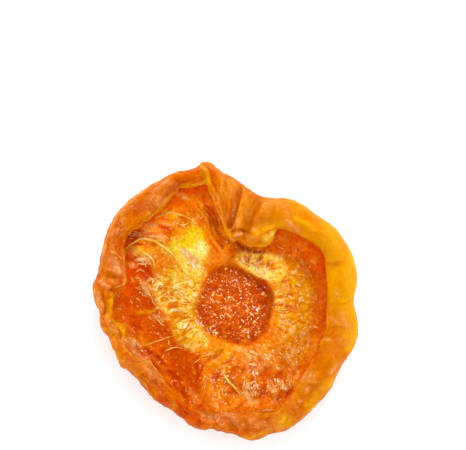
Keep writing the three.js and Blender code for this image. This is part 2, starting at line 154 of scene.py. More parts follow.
# Stations anticlockwise from the right: outer edge, free lip of the curled rim with its height,
# foot of the wall under the lip, height of the rim's crest.
halfForm = {
    "stations": [
        ((21.4, 0.0), (16.9, -0.6, 9.7), (18.4, -0.5), 11.4),
        ((21.9, 3.2), (16.9, 2.4, 10.1), (18.5, 2.8), 11.8),
        ((21.7, 6.0), (16.8, 5.0, 9.9), (18.2, 6.1), 11.6),
        ((20.5, 9.3), (16.4, 7.5, 10.2), (17.6, 8.7), 11.9),
        ((18.4, 12.1), (15.0, 9.2, 10.4), (16.0, 10.7), 12.0),
        ((15.6, 14.2), (12.4, 10.7, 10.4), (13.3, 12.4), 12.0),
        ((12.9, 16.1), (10.3, 11.6, 10.3), (11.1, 13.2), 11.9),
        ((10.7, 17.1), (8.7, 11.7, 9.9), (9.6, 13.4), 11.6),
        ((8.7, 17.2), (7.9, 10.0, 9.3), (8.3, 12.4), 11.2),
        ((7.0, 17.3), (6.7, 9.0, 9.0), (7.0, 11.6), 10.9),
        ((5.6, 17.9), (4.6, 9.0, 9.1), (5.6, 11.2), 10.8),
        ((5.0, 18.3), (3.7, 9.4, 9.2), (4.9, 11.1), 10.8),
        ((4.3, 18.7), (3.2, 9.9, 9.3), (4.5, 11.1), 10.7),
        ((3.3, 19.5), (2.0, 9.9, 9.6), (3.4, 11.4), 10.8),
        ((2.3, 20.3), (1.1, 9.8, 9.9), (2.8, 11.8), 11.0),
        ((1.2, 20.9), (0.5, 10.9, 10.3), (2.1, 13.2), 11.3),
        ((0.0, 21.4), (-0.3, 12.7, 10.4), (1.2, 14.8), 11.4),
        ((-1.2, 22.3), (-1.3, 14.9, 10.6), (0.1, 16.8), 11.6),
        ((-2.4, 23.1), (-2.3, 17.3, 10.7), (-1.3, 18.9), 11.8),
        ((-3.7, 23.2), (-3.1, 19.1, 10.7), (-2.8, 20.5), 12.0),
        ((-5.1, 22.1), (-4.7, 18.8, 10.4), (-4.8, 20.1), 11.8),
        ((-7.6, 21.7), (-7.3, 18.6, 10.2), (-7.5, 19.9), 11.6),
        ((-8.9, 21.2), (-7.9, 17.8, 10.1), (-8.3, 19.1), 11.5),
        ((-10.5, 20.4), (-9.2, 16.7, 10.1), (-9.8, 18.0), 11.4),
        ((-13.0, 18.9), (-11.2, 14.6, 10.2), (-12.0, 16.0), 11.5),
        ((-15.6, 17.1), (-13.5, 12.6, 10.2), (-14.4, 13.8), 11.6),
        ((-17.9, 14.6), (-15.7, 11.0, 10.0), (-16.6, 11.9), 11.4),
        ((-19.5, 11.7), (-16.6, 9.0, 9.8), (-17.8, 9.7), 11.2),
        ((-20.5, 8.2), (-16.4, 6.2, 9.7), (-17.8, 6.7), 11.0),
        ((-21.1, 4.9), (-16.2, 3.8, 9.3), (-17.6, 4.2), 10.6),
        ((-21.5, 3.6), (-16.4, 2.4, 9.4), (-17.7, 2.8), 10.8),
        ((-21.9, 2.7), (-17.4, 2.0, 9.6), (-18.6, 2.3), 10.9),
        ((-21.8, 1.3), (-18.0, 1.1, 9.5), (-19.1, 1.3), 10.8),
        ((-21.4, -0.3), (-18.4, -0.5, 9.4), (-19.4, -0.4), 10.6),
        ((-20.8, -1.5), (-18.6, -1.9, 9.2), (-19.6, -1.9), 10.4),
        ((-20.7, -2.7), (-18.6, -3.0, 9.2), (-19.6, -3.0), 10.4),
        ((-20.7, -4.0), (-17.8, -3.7, 9.1), (-18.8, -3.8), 10.3),
        ((-20.3, -5.0), (-16.9, -4.4, 8.9), (-18.0, -4.6), 10.2),
        ((-19.5, -5.8), (-16.4, -5.5, 8.8), (-17.5, -5.8), 10.0),
        ((-18.8, -6.8), (-16.5, -6.7, 8.9), (-17.6, -7.1), 10.1),
        ((-18.2, -8.4), (-16.0, -7.9, 9.1), (-17.0, -8.3), 10.2),
        ((-17.6, -9.9), (-14.9, -9.0, 8.9), (-15.8, -9.5), 10.0),
        ((-17.0, -11.0), (-13.5, -9.9, 8.8), (-14.3, -10.5), 9.8),
        ((-15.8, -11.6), (-12.2, -10.1, 8.9), (-13.1, -10.8), 9.9),
        ((-14.4, -13.1), (-11.2, -10.9, 9.0), (-12.1, -11.7), 10.0),
        ((-13.2, -14.5), (-10.4, -12.2, 8.8), (-11.2, -13.0), 9.8),
        ((-11.8, -16.2), (-9.6, -13.7, 8.6), (-10.2, -14.6), 9.6),
        ((-10.6, -17.2), (-8.6, -15.0, 8.4), (-9.1, -15.8), 9.4),
        ((-9.2, -17.8), (-7.3, -16.3, 8.3), (-7.8, -17.1), 9.3),
        ((-7.4, -19.3), (-6.2, -17.3, 8.0), (-6.5, -18.1), 9.2),
        ((-5.4, -20.7), (-5.1, -18.0, 7.6), (-5.2, -18.8), 9.1),
        ((-3.6, -21.3), (-3.5, -18.3, 7.2), (-3.6, -19.0), 8.9),
        ((-2.3, -21.1), (-1.9, -18.7, 7.1), (-1.9, -19.3), 8.8),
        ((-0.5, -21.6), (-0.3, -18.5, 7.1), (-0.3, -19.1), 8.8),
        ((1.4, -22.0), (1.3, -18.4, 7.1), (1.3, -19.0), 8.7),
        ((4.5, -23.0), (4.1, -18.3, 7.1), (4.2, -19.0), 8.8),
        ((7.8, -22.1), (6.9, -18.6, 7.4), (7.1, -19.4), 9.0),
        ((11.2, -20.9), (9.6, -17.4, 8.1), (10.2, -18.2), 9.6),
        ((14.2, -18.2), (11.0, -15.1, 8.9), (11.9, -16.1), 10.2),
        ((16.9, -15.4), (12.5, -12.9, 9.2), (13.5, -13.7), 10.6),
        ((18.2, -13.2), (13.7, -11.1, 9.3), (14.8, -11.8), 10.8),
        ((19.1, -11.3), (14.9, -9.7, 9.5), (16.0, -10.3), 10.9),
        ((20.4, -9.4), (15.6, -8.4, 9.6), (16.9, -8.9), 11.1),
        ((21.4, -7.8), (15.8, -7.0, 9.7), (17.3, -7.4), 11.2),
        ((22.0, -6.1), (16.2, -5.7, 9.8), (17.9, -6.0), 11.3),
        ((22.1, -4.3), (16.7, -4.3, 9.8), (18.5, -4.4), 11.4),
        ((21.8, -2.1), (16.7, -2.5, 9.9), (18.3, -2.6), 11.6),
    ],
    "columnsPerStation": 7,
    "rows": {"dent": 38, "flesh": 62, "wall": 12, "rim": 50, "underside": 48},
    "dentMiddle": (1.6, -0.3),
    # every 15 degrees from the right
    "dentRadii": (
        6.7, 6.7, 6.3, 6.05, 5.95, 6.15, 6.65, 6.85, 6.6, 6.3, 5.85, 6.1,
        6.8, 7.0, 6.95, 6.95, 6.7, 6.45, 6.75, 7.3, 7.3, 7.15, 6.8, 6.6,
    ),
    "dentFloor": 3.5,
    "dentDome": 0.6,
    "dentSlope": 0.1,  # the floor rises to the left
    "dentBrink": (0.88, 1.06),
    "dentReach": 1.12,
    "fleshHeight": 5.2,
    "swell": (0.7, 9.5, 2.8),  # height, radius and width of the swelling round the dent
    "trough": (0.7, 0.82),  # depth, and the share of the way to the wall where it starts
    "edgeShare": 0.58,
    "crestShare": 0.45,
    "rimFlatness": 0.7,
    "flatShare": 0.22,
    "roundRadius": 22.0,
    "bowlPowers": (2.2, 0.62),
    "dentPower": 1.15,  # how the rows crowd towards the dent's edge
    "wallPower": 2.2,  # how long the wall stays upright before it sweeps in to the lip
    "lowPower": 0.8,  # how the rows crowd towards the underside's edge
    "ridgeSide": (-9, 5),  # y minus x, in millimetres, over which the upper left side begins
    # height, width, share of the outline, whether only on the upper left side
    "undersideRings": (
        (0.75, 0.045, 0.66, True),
        (-0.35, 0.05, 0.55, True),
        (-0.4, 0.035, 0.8, False),
        (-0.35, 0.03, 0.92, False),
    ),
    # height, width, route
    "fleshFolds": (
        (0.5, 1.5, ((-12.9, 3.1), (-11.1, -0.5), (-8.2, -5.0))),
        (-0.6, 3.2, ((-14.6, -0.6), (-12.2, -5.6))),
        (-0.6, 2.6, ((-9.0, -10.2), (-6.2, -15.2))),
        (0.5, 1.3, ((-2.9, -10.6), (-2.6, -15.6))),
        (-0.4, 0.5, ((-3.2, -9.6), (-1.2, -8.6), (-0.2, -8.0))),
        (-0.9, 1.5, ((0.2, 9.2), (3.2, 8.8))),
        (0.8, 1.1, ((-3.8, 16.6), (-2.6, 13.2), (-0.8, 9.6))),
        (0.6, 2.4, ((-6.4, 8.2), (-4.6, 11.2))),
        (1.2, 3.4, ((-14.0, 11.0), (-5.0, 18.6))),
        (0.5, 1.6, ((3.4, -13.6), (10.6, -14.2))),
        (0.4, 2.0, ((10.6, 4.6), (12.2, -4.6))),
        (0.9, 1.8, ((-5.2, -18.4), (1.0, -18.9), (7.8, -18.8))),
    ),
    "skinFolds": (
        (-0.8, 0.5, ((2.7, 19.6), (1.9, 16.9), (0.8, 12.4))),
        (-0.8, 0.7, ((6.0, 17.2), (4.5, 15.3), (3.7, 13.6), (3.4, 11.4))),
        (0.7, 1.1, ((7.2, 10.8), (5.4, 10.6))),
        (-0.6, 0.7, ((4.6, 12.6), (6.4, 13.0), (8.2, 12.8))),
        (-0.7, 0.6, ((-3.3, 19.6), (-3.7, 22.6))),
        (-0.4, 0.6, ((-7.9, 18.8), (-8.3, 21.4))),
    ),
}


def fromDent(x, y):
    middleX, middleY = halfForm["dentMiddle"]
    return x - middleX, y - middleY


def dentRadius(x, y):
    return sideValue(halfForm["dentRadii"], *fromDent(x, y))


def dentShare(x, y):
    return np.hypot(*fromDent(x, y)) / dentRadius(x, y)


def fleshSurface(x, y):
    f = halfForm
    dx, dy = fromDent(x, y)
    share = dentShare(x, y)
    floor = f["dentFloor"] + f["dentDome"] * (1 - np.minimum(share, 1.0) ** 2) - f["dentSlope"] * dx
    height, radius, width = f["swell"]
    swell = height * bell(np.hypot(dx, dy) - radius, width)
    flesh = f["fleshHeight"] + swell + foldHeight(x, y, f["fleshFolds"])
    return mix(floor, flesh, smoothStep(*f["dentBrink"], share))


def stationValues(place):
    edge, lip, foot, crest = zip(*halfForm["stations"])
    return tuple(ringValue(values, place) for values in (edge, lip, foot, crest))


def inwardPoint(foot, share):
    x, y = (mix(halfForm["dentMiddle"][axis], foot[..., axis], share) for axis in (0, 1))
    depth, start = halfForm["trough"]
    return x, y, fleshSurface(x, y) - depth * smoothStep(start, 1.0, share)


# share of the way from the dent's middle to the foot where the rows of the dent end
def dentEnd(foot):
    return halfForm["dentReach"] / dentShare(foot[..., 0], foot[..., 1])


def dentPoint(edge, lip, foot, crest, share):
    return inwardPoint(foot, dentEnd(foot) * (1 - (1 - share) ** halfForm["dentPower"]))


def fleshPoint(edge, lip, foot, crest, share):
    return inwardPoint(foot, mix(dentEnd(foot), 1.0, share))


def wallPoint(edge, lip, foot, crest, share):
    sweep = share ** halfForm["wallPower"]
    x, y, z = inwardPoint(foot, np.ones_like(share))
    return mix(x, lip[..., 0], sweep), mix(y, lip[..., 1], sweep), mix(z, lip[..., 2], share)


def rimPoint(edge, lip, foot, crest, share):
    f = halfForm
    turn = share * math.pi
    inner = share < 0.5
    across = f["crestShare"] - np.where(inner, f["crestShare"], 1 - f["crestShare"]) * np.cos(turn)
    low = np.where(inner, lip[..., 2], crest * f["edgeShare"])
    x, y = (mix(lip[..., axis], edge[..., axis], across) for axis in (0, 1))
    lift = np.abs(np.sin(turn)) ** f["rimFlatness"]
    return x, y, mix(low, crest, lift) + foldHeight(x, y, f["skinFolds"]) * lift


def lowRing(share):
    return np.cos(share * math.pi / 2) ** halfForm["lowPower"]


def bowlHeight(ring):
    power, roundness = halfForm["bowlPowers"]
    return 1 - np.maximum(1 - ring**power, 0.0) ** roundness


def upperLeftShare(x, y):
    return smoothStep(*halfForm["ridgeSide"], y - x)


def undersidePoint(edge, lip, foot, crest, share):
    f = halfForm
    ring = lowRing(share)
    reach = np.hypot(edge[..., 0], edge[..., 1])
    radius = mix(f["roundRadius"], reach, ring**3) * ring
    x, y = (edge[..., axis] / reach * radius for axis in (0, 1))
    flat = bowlHeight(f["flatShare"])
    height = (bowlHeight(ring) - flat) / (1 - flat) * crest * f["edgeShare"]
    side = upperLeftShare(x, y)
    folds = 0.0
    for fold, width, at, sided in f["undersideRings"]:
        folds = folds + fold * (side if sided else 1.0) * bell(ring - at, width)
    return x, y, np.where(ring > f["flatShare"], np.maximum(height - folds, 0.0), 0.0)


stretches = {
    "dent": dentPoint,
    "flesh": fleshPoint,
    "wall": wallPoint,
    "rim": rimPoint,
    "underside": undersidePoint,
}
dentZone, fleshZone, wallZone, rimZone, lowZone = range(len(stretches))


# rows from the dent's middle to the underside's, columns round the half
def buildGrid():
    rows = halfForm["rows"]
    count = len(halfForm["stations"]) * halfForm["columnsPerStation"]
    place = np.arange(count) / halfForm["columnsPerStation"]
    parts = {"points": [], "zone": [], "share": [], "place": []}
    for number, (name, pointOf) in enumerate(stretches.items()):
        first = 0 if number == 0 else 1
        share = np.arange(first, rows[name] + 1) / rows[name]
        values = [np.broadcast_to(v, (len(share),) + v.shape) for v in stationValues(place)]
        across = np.broadcast_to(share[:, None], (len(share), count)).copy()
        parts["points"].append(np.stack(pointOf(*values, across), -1))
        parts["zone"].append(np.full((len(share), count), number))
        parts["share"].append(across)
        parts["place"].append(np.broadcast_to(place, (len(share), count)))
    return {name: np.concatenate(values) for name, values in parts.items()}


def gridNormals(points):
    around = np.roll(points, -1, 1) - np.roll(points, 1, 1)
    along = np.gradient(points, axis=0)
    normal = np.cross(along, around)
    normal[0] = (0, 0, 1)
    normal[-1] = (0, 0, -1)
    return normal / np.maximum(np.linalg.norm(normal, axis=-1, keepdims=True), 1e-9)


# Areas of the flesh, laid over each other in this order: outline, softness of its edge, colour of its
# hollows and of its crests, the depths of its radial fibres, its grains and its lumps, how wet it is, which
# also sets the glints painted on it, and how much pale pulp shows in it. Some are painted paler, as painted
# light against the shade they lie in.
fleshAreas = {
    "general": (None, 0.0, (226, 110, 8), (238, 136, 24), (0.04, 0.06, 0.14), 0.25, 0.05),
    "upperLeft": (
        ((-15.8, 11.0), (-12.8, 13.2), (-9.1, 15.9), (-7.1, 17.9), (-3.1, 18.6), (-1.8, 15.9), (-0.9, 12.9),
         (-3.1, 12.5), (-6.1, 12.2), (-8.1, 10.5), (-10.8, 9.2), (-13.1, 7.2), (-14.1, 5.2), (-16.1, 6.5)),
        1.0, (236, 120, 6), (252, 172, 28), (0.05, 0.03, 0.28), 0.8, 0.1,
    ),
    "upperRight": (
        ((5.6, 9.2), (8.6, 11.2), (12.6, 9.5), (16.0, 6.9), (17.0, 1.8), (16.3, -5.7), (14.5, -4.9),
         (14.1, 0.8), (13.0, 4.9), (10.0, 6.9)),
        0.8, (224, 100, 3), (240, 132, 10), (0.02, 0.1, 0.12), 0.2, 0.2,
    ),
    # painted light: paler against the shade under the lobe and the upper right rim
    "underLobe": (
        ((4.6, 10.5), (9.0, 11.6), (13.0, 9.8), (16.2, 7.2), (15.6, 5.0), (12.4, 6.4), (9.4, 7.8),
         (5.6, 8.8)),
        1.0, (262, 114, 4), (282, 152, 16), (0.02, 0.08, 0.12), 0.2, 0.2,
    ),
    "dark": (
        ((-16.1, 6.5), (-17.1, 2.7), (-17.7, 0.2), (-16.3, -2.8), (-14.1, -5.9), (-12.1, -8.5),
         (-10.1, -10.9), (-7.4, -13.9), (-5.8, -16.4), (-3.6, -18.4), (-3.6, -14.1), (-3.8, -10.0),
         (-5.8, -8.2), (-7.8, -6.7), (-8.4, -4.9), (-9.8, -3.0), (-11.5, -0.8), (-13.1, 1.8), (-13.8, 4.2)),
        0.7, (216, 82, 2), (236, 112, 6), (0.0, 0.04, 0.14), 0.5, 0.0,
    ),
    "rightFlesh": (
        ((7.9, 5.5), (11.0, 6.5), (13.3, 4.9), (14.5, 1.8), (14.6, -2.3), (13.6, -5.7), (11.3, -7.0),
         (8.8, -6.2), (8.3, -3.5), (8.6, 0.2), (8.8, 2.8)),
        1.0, (236, 140, 6), (250, 178, 24), (0.05, 0.12, 0.08), 0.28, 0.5,
    ),
    "rightStreaks": (
        ((8.8, 2.5), (11.3, 2.2), (13.3, -0.2), (13.3, -2.8), (12.0, -5.5), (9.6, -4.5), (8.4, -2.5)),
        0.8, (234, 140, 8), (246, 176, 36), (0.1, 0.05, 0.04), 0.35, 0.62,
    ),
    "lowerRight": (
        ((7.9, -5.5), (13.6, -5.5), (16.0, -7.4), (13.6, -10.2), (11.0, -11.9), (6.3, -10.2), (4.6, -8.2)),
        1.0, (230, 118, 6), (242, 150, 24), (0.04, 0.1, 0.13), 0.6, 0.3,
    ),
    "bottom": (
        ((-3.4, -10.2), (0.6, -8.5), (5.3, -8.5), (11.0, -10.2), (13.0, -11.9), (12.0, -14.6), (9.0, -16.9),
         (5.3, -18.4), (0.3, -18.9), (-3.1, -18.2)),
        0.9, (224, 104, 5), (242, 140, 24), (0.03, 0.12, 0.2), 0.85, 0.15,
    ),
    "lowerYellow": (
        ((-3.6, -7.4), (-1.8, -5.9), (0.6, -7.0), (2.6, -8.0), (1.3, -9.4), (-0.4, -11.0), (-3.3, -10.9)),
        0.8, (230, 134, 8), (240, 158, 24), (0.06, 0.04, 0.1), 0.3, 0.2,
    ),
    "leftFibres": (
        ((-12.1, 2.8), (-10.5, 4.9), (-8.8, 6.2), (-6.4, 6.5), (-3.8, 5.9), (-3.1, 4.2), (-4.3, 2.2),
         (-4.9, -0.3), (-4.6, -2.8), (-3.6, -4.9), (-2.2, -6.3), (-3.8, -7.9), (-6.4, -8.2), (-7.9, -6.2),
         (-9.1, -3.5), (-11.1, -1.2)),
        0.8, (230, 154, 14), (250, 208, 68), (0.12, 0.08, 0.14), 0.35, 1.0,
    ),
    "paleBand": (
        ((-10.3, 9.2), (-8.1, 10.2), (-5.8, 10.9), (-3.4, 11.4), (-2.6, 9.2), (-3.1, 6.5), (-4.8, 5.5),
         (-7.1, 5.9), (-8.8, 7.2)),
        1.1, (248, 206, 34), (254, 236, 124), (0.1, 0.02, 0.14), 0.25, 0.35,
    ),
    # pale fibres, painted paler still as painted light against the lobe's shade
    "upperFibres": (
        ((1.6, 8.5), (3.9, 9.0), (6.6, 8.7), (9.6, 7.0), (10.3, 5.2), (9.2, 3.2), (6.4, 3.4), (4.2, 4.9),
         (2.4, 6.4)),
        0.7, (266, 200, 40), (284, 244, 124), (0.08, 0.06, 0.08), 0.45, 0.8,
    ),
    # painted light: paler against the shade under the flap
    "besideFlap": (
        ((-6.2, 17.6), (-3.0, 18.2), (-1.0, 14.6), (0.4, 10.4), (1.6, 8.4), (-0.4, 7.4), (-2.4, 10.2),
         (-3.8, 13.4)),
        0.9, (280, 142, 8), (300, 190, 30), (0.06, 0.04, 0.08), 0.2, 0.1,
    ),
    "yellowPatch": (
        ((-7.1, 11.5), (-5.4, 12.7), (-3.6, 12.4), (-2.8, 10.9), (-3.6, 9.5), (-5.8, 9.2), (-7.8, 9.2)),
        1.0, (246, 190, 4), (250, 214, 14), (0.04, 0.0, 0.06), 0.2, 0.15,
    ),
    "whitePatch": (
        ((-4.8, 10.5), (-3.4, 10.5), (-2.6, 9.0), (-3.1, 7.5), (-4.3, 8.2)),
        0.8, (244, 216, 90), (254, 240, 164), (0.08, 0.0, 0.06), 0.2, 0.2,
    ),
    "whiteBlob": (
        ((-7.3, 8.5), (-5.8, 8.5), (-4.3, 6.9), (-4.3, 5.5), (-5.8, 5.9), (-6.9, 7.2)),
        0.6, (228, 166, 72), (240, 200, 136), (0.06, 0.04, 0.14), 0.9, 0.5,
    ),
}
fleshTexture = {
    "gain": 0.71,  # light that the palette's colours keep
    # shares of the way to the wall between which the flesh is painted paler, as painted light against the
    # shade of the hollow there, and less pale again
    "hollowReach": (0.62, 0.84),
    "hollowEnd": (0.86, 0.97),
    "hollowPaintedLight": (1.9, 1.95, 1.2),  # how much paler the flesh is in that hollow
    # painted shade: the flesh is painted dimmer under the lip
    "underLipPaintedShade": (0.78, 0.72, 0.8),  # and under the lip
    # how far each of the two goes, every 30 degrees from the right
    "wallSides": (1.0, 1.0, 1.0, 0.2, 0.6, 0.75, 0.9, 1.0, 1.0, 1.0, 1.0, 1.0),
    "hollowSides": (0.5, 0.7, 1.0, 0.95, 0.8, 0.5, 0.25, 0.15, 0.15, 0.2, 0.3, 0.4),
    "hollowOnWall": 0.3,  # share of the hollow's paleness that is left there
    "bend": (0.5, 1.7),  # how far area edges wander, and over what length
    "fibre": (30.0, 1.4),  # strands per turn of one radian, length
    "grainSize": 0.7,
    "lumpSize": 1.7,
    "brinkClear": (0.97, 1.07),  # shares of the dent's radius between which the fibres begin
    "crestLevels": (-0.5, 0.9),  # relief over which the tint goes from the hollows' to the crests'
    # size, seed and levels of the noise that wets the flesh in patches, and so patches the glints painted
    # there, and of the one that clumps its pulp
    "wetPatches": (1.6, 61, (-0.4, 0.5)),
    "pulpPatches": (1.3, 63, (-0.5, 0.4)),
}
dentTexture = {
    "depths": (0.2, 0.07, 0.05),  # of its lumps, its grains and its slanting ridges
    "sizes": (0.95, 0.62, 0.85),
    "bend": (0.35, 0.7),
    "ridgeArea": (((-4.2, -0.6), (-0.6, -0.6), (1.2, -3.2), (-0.6, -5.8), (-3.6, -4.4)), 0.8),
    "ridgeSlant": 0.36,
    "ridgeBreaks": (1.2, 0.5),  # lengths in x and in y over which the ridges come and go
    "colours": ((199, 72, 3), (216, 103, 10)),
    "crestLevels": (-0.5, 1.0),
    # how wet the dent is: this sets its coat and the glints painted in it
    "wetAndGlintLevel": 0.76,
    "wetPatches": (1.6, 62, (-1.0, 0.1), 1),
    "sides": (-4.0, 3.0),  # x over which the left side turns into the right one
    # shares of the radius over which the dent's colour ends, and its wetness with the glints painted there,
    # at the left and at the right
    "colourEnd": ((0.84, 1.0), (0.95, 1.05)),
    "wetEnd": ((0.97, 1.06), (0.82, 0.99)),
}

# Strokes laid on one by one: kind, width, strength, route. A kind has a colour, a height as a share of its
# stroke's width, and how wet it is, which also sets the glints painted there.
strokeCover = 0.85  # share of the colour underneath that a full stroke hides
# Strokes of the glint and sheen kinds are painted highlights; those of the deep and crease kinds are
# painted shade in shallow dips, and shadow ones are painted shadow.
strokeKinds = {
    "glint": ((270, 218, 176), 0.1, 1.0),
    "sheen": ((242, 156, 96), 0.05, 1.0),
    "deep": ((204, 62, 3), -0.4, 0.0),
    "yellow": ((248, 182, 24), 0.2, 0.0),
    "peach": ((240, 160, 74), 0.25, 0.0),
    "ember": ((252, 112, 10), 0.2, 0.0),
    "pale": ((250, 220, 130), 0.3, 0.0),
    "shadedCrease": ((206, 84, 3), -1.0, 0.0),
    "shadow": ((176, 58, 2), -1.0, 0.0),
}
fleshStrokes = (
    ("ember", 0.3, 0.6, ((-5.3, 16.2), (-4.2, 13.2), (-2.5, 10.1), (-1.3, 8.0))),
    ("shadedCrease", 0.22, 0.8, ((-4.8, 17.4), (-3.8, 13.9), (-2.2, 10.6), (-0.8, 8.2))),
    ("peach", 0.22, 0.8, ((-4.2, 17.3), (-3.1, 14.2), (-1.7, 11.3), (-0.1, 8.6))),
    ("shadedCrease", 0.22, 0.8, ((-3.1, 15.6), (-2.0, 12.5), (-0.4, 9.4))),
    ("glint", 0.45, 0.6, ((3.6, -13.2), (3.3, -14.6), (3.9, -15.9), (5.1, -16.6))),
    ("glint", 0.35, 0.6, ((6.9, -13.2), (7.8, -14.6))),
    ("glint", 0.3, 0.6, ((8.1, -13.4), (8.6, -14.7))),
    ("glint", 0.5, 0.6, ((9.6, -13.2), (10.5, -14.9))),
    ("glint", 0.3, 0.6, ((8.8, -15.7), (8.2, -17.1))),
    ("glint", 0.7, 0.6, ((-16.6, -6.5), (-14.6, -8.5), (-13.0, -9.5))),
    ("glint", 0.5, 0.7, ((-15.6, 11.0), (-14.7, 11.4), (-13.9, 11.8))),
    ("glint", 0.5, 0.6, ((-13.6, 11.7), (-10.6, 10.8))),
    ("glint", 0.4, 0.5, ((-13.0, 12.7), (-12.0, 12.1))),
    ("glint", 0.4, 0.5, ((-10.6, 13.5), (-9.1, 12.5))),
    ("glint", 0.65, 1.0, ((-15.1, 6.2), (-14.1, 6.6), (-12.9, 6.9))),
    ("glint", 0.4, 0.5, ((-16.1, 8.7), (-15.0, 7.9))),
    ("glint", 0.4, 0.7, ((-7.8, 17.9), (-7.0, 17.7), (-6.3, 17.1))),
    ("glint", 0.5, 0.4, ((-5.6, -15.1), (-4.4, -16.1))),
    ("glint", 0.3, 0.7, ((-12.8, 3.1), (-12.4, 3.9), (-11.5, 3.9))),
    ("glint", 0.45, 0.8, ((-13.5, 2.9), (-13.1, 2.2), (-12.6, 1.6))),
    ("peach", 0.3, 0.8, ((-13.3, 2.4), (-12.6, 0.9), (-11.5, -0.6), (-10.7, -1.6), (-9.6, -2.7),
        (-8.5, -3.4))),
    ("yellow", 0.3, 0.8, ((-14.1, -2.1), (-12.4, -2.0), (-11.3, -1.4))),
    ("glint", 0.4, 0.5, ((-11.5, -2.5), (-10.5, -3.3))),
    ("glint", 0.5, 0.4, ((1.8, -7.7), (3.1, -8.4), (4.6, -9.5))),
    ("sheen", 0.8, 0.7, ((3.9, -10.4), (6.1, -10.6))),
    ("glint", 0.5, 0.5, ((6.4, -9.3), (7.9, -8.9))),
    ("glint", 0.4, 0.4, ((8.5, -11.2), (9.8, -11.4))),
    ("glint", 0.35, 0.4, ((11.6, -10.4), (12.0, -12.4))),
    ("glint", 0.45, 0.4, ((12.8, -6.0), (13.1, -7.4))),
    ("glint", 0.35, 0.4, ((10.0, -9.0), (10.8, -9.3))),
    ("pale", 0.3, 0.8, ((-0.6, -11.3), (0.4, -13.1), (2.1, -14.9))),
    ("shadedCrease", 0.2, 0.9, ((-2.7, -9.4), (-1.9, -9.0), (-0.9, -8.5), (-0.2, -8.0))),
    ("deep", 0.35, 0.7, ((-3.2, -9.6), (-2.2, -9.2), (-1.2, -8.6))),
    ("deep", 0.3, 0.8, ((-3.6, -9.9), (-3.7, -11.1), (-4.1, -12.4))),
    ("deep", 0.3, 0.8, ((-4.7, -9.1), (-4.6, -10.8), (-4.5, -12.8))),
    ("shadedCrease", 0.9, 0.3, ((1.4, 9.2), (4.2, 9.6), (6.6, 9.6))),
    ("shadow", 0.35, 0.9, ((0.9, 10.1), (3.0, 9.4), (4.8, 8.7), (6.8, 8.6))),
    ("shadedCrease", 0.4, 0.6, ((-3.0, 13.6), (-1.6, 11.4), (-0.2, 9.6))),
    ("shadedCrease", 0.35, 0.5, ((-1.9, 13.4), (-0.8, 11.6), (0.2, 10.2))),
    ("yellow", 0.25, 0.9, ((-5.1, -11.5), (-4.9, -11.6))),
    ("shadedCrease", 0.2, 0.8, ((-3.4, 17.9), (-2.9, 16.4), (-2.3, 14.9), (-1.4, 13.2), (-0.6, 11.5))),
    ("shadedCrease", 0.2, 0.7, ((-4.0, 16.4), (-3.3, 14.8), (-2.5, 13.1), (-1.8, 11.4))),
    ("yellow", 0.2, 0.6, ((-3.6, 16.6), (-2.8, 14.0), (-1.2, 10.8))),
    ("yellow", 0.2, 0.5, ((-4.4, 15.6), (-3.6, 13.4), (-2.2, 10.8))),
)

# Short dark wrinkles strewn over the flesh, shallow dips darkened with painted shade: how many, the band
# that they lie in as its two ends and half its width, their slant in degrees and how much it varies, their
# lengths and their width. Without a slant they run outwards from the dent.
shadedWrinkleStreaks = (
    (22, (-16.0, 10.2), (-9.5, 12.4), 1.5, -15, 20, (0.8, 2.4), 0.3),
    (26, (-15.8, 8.6), (-12.6, 3.6), 1.4, -30, 25, (0.8, 2.4), 0.3),
    (50, (-2.0, -14.0), (11.0, -13.5), 3.4, 60, 50, (0.6, 1.8), 0.28),
    (26, (-16.4, -4.0), (-6.0, -15.5), 1.5, -45, 25, (0.8, 2.2), 0.3),
    (30, (-9.8, 2.6), (-5.6, -6.4), 1.9, None, 30, (0.6, 1.6), 0.22),
    (24, (9.4, 3.4), (11.2, -4.6), 2.0, None, 20, (0.6, 1.6), 0.2),
    (20, (2.2, 7.6), (9.4, 5.6), 1.1, None, 40, (0.5, 1.2), 0.22),
)
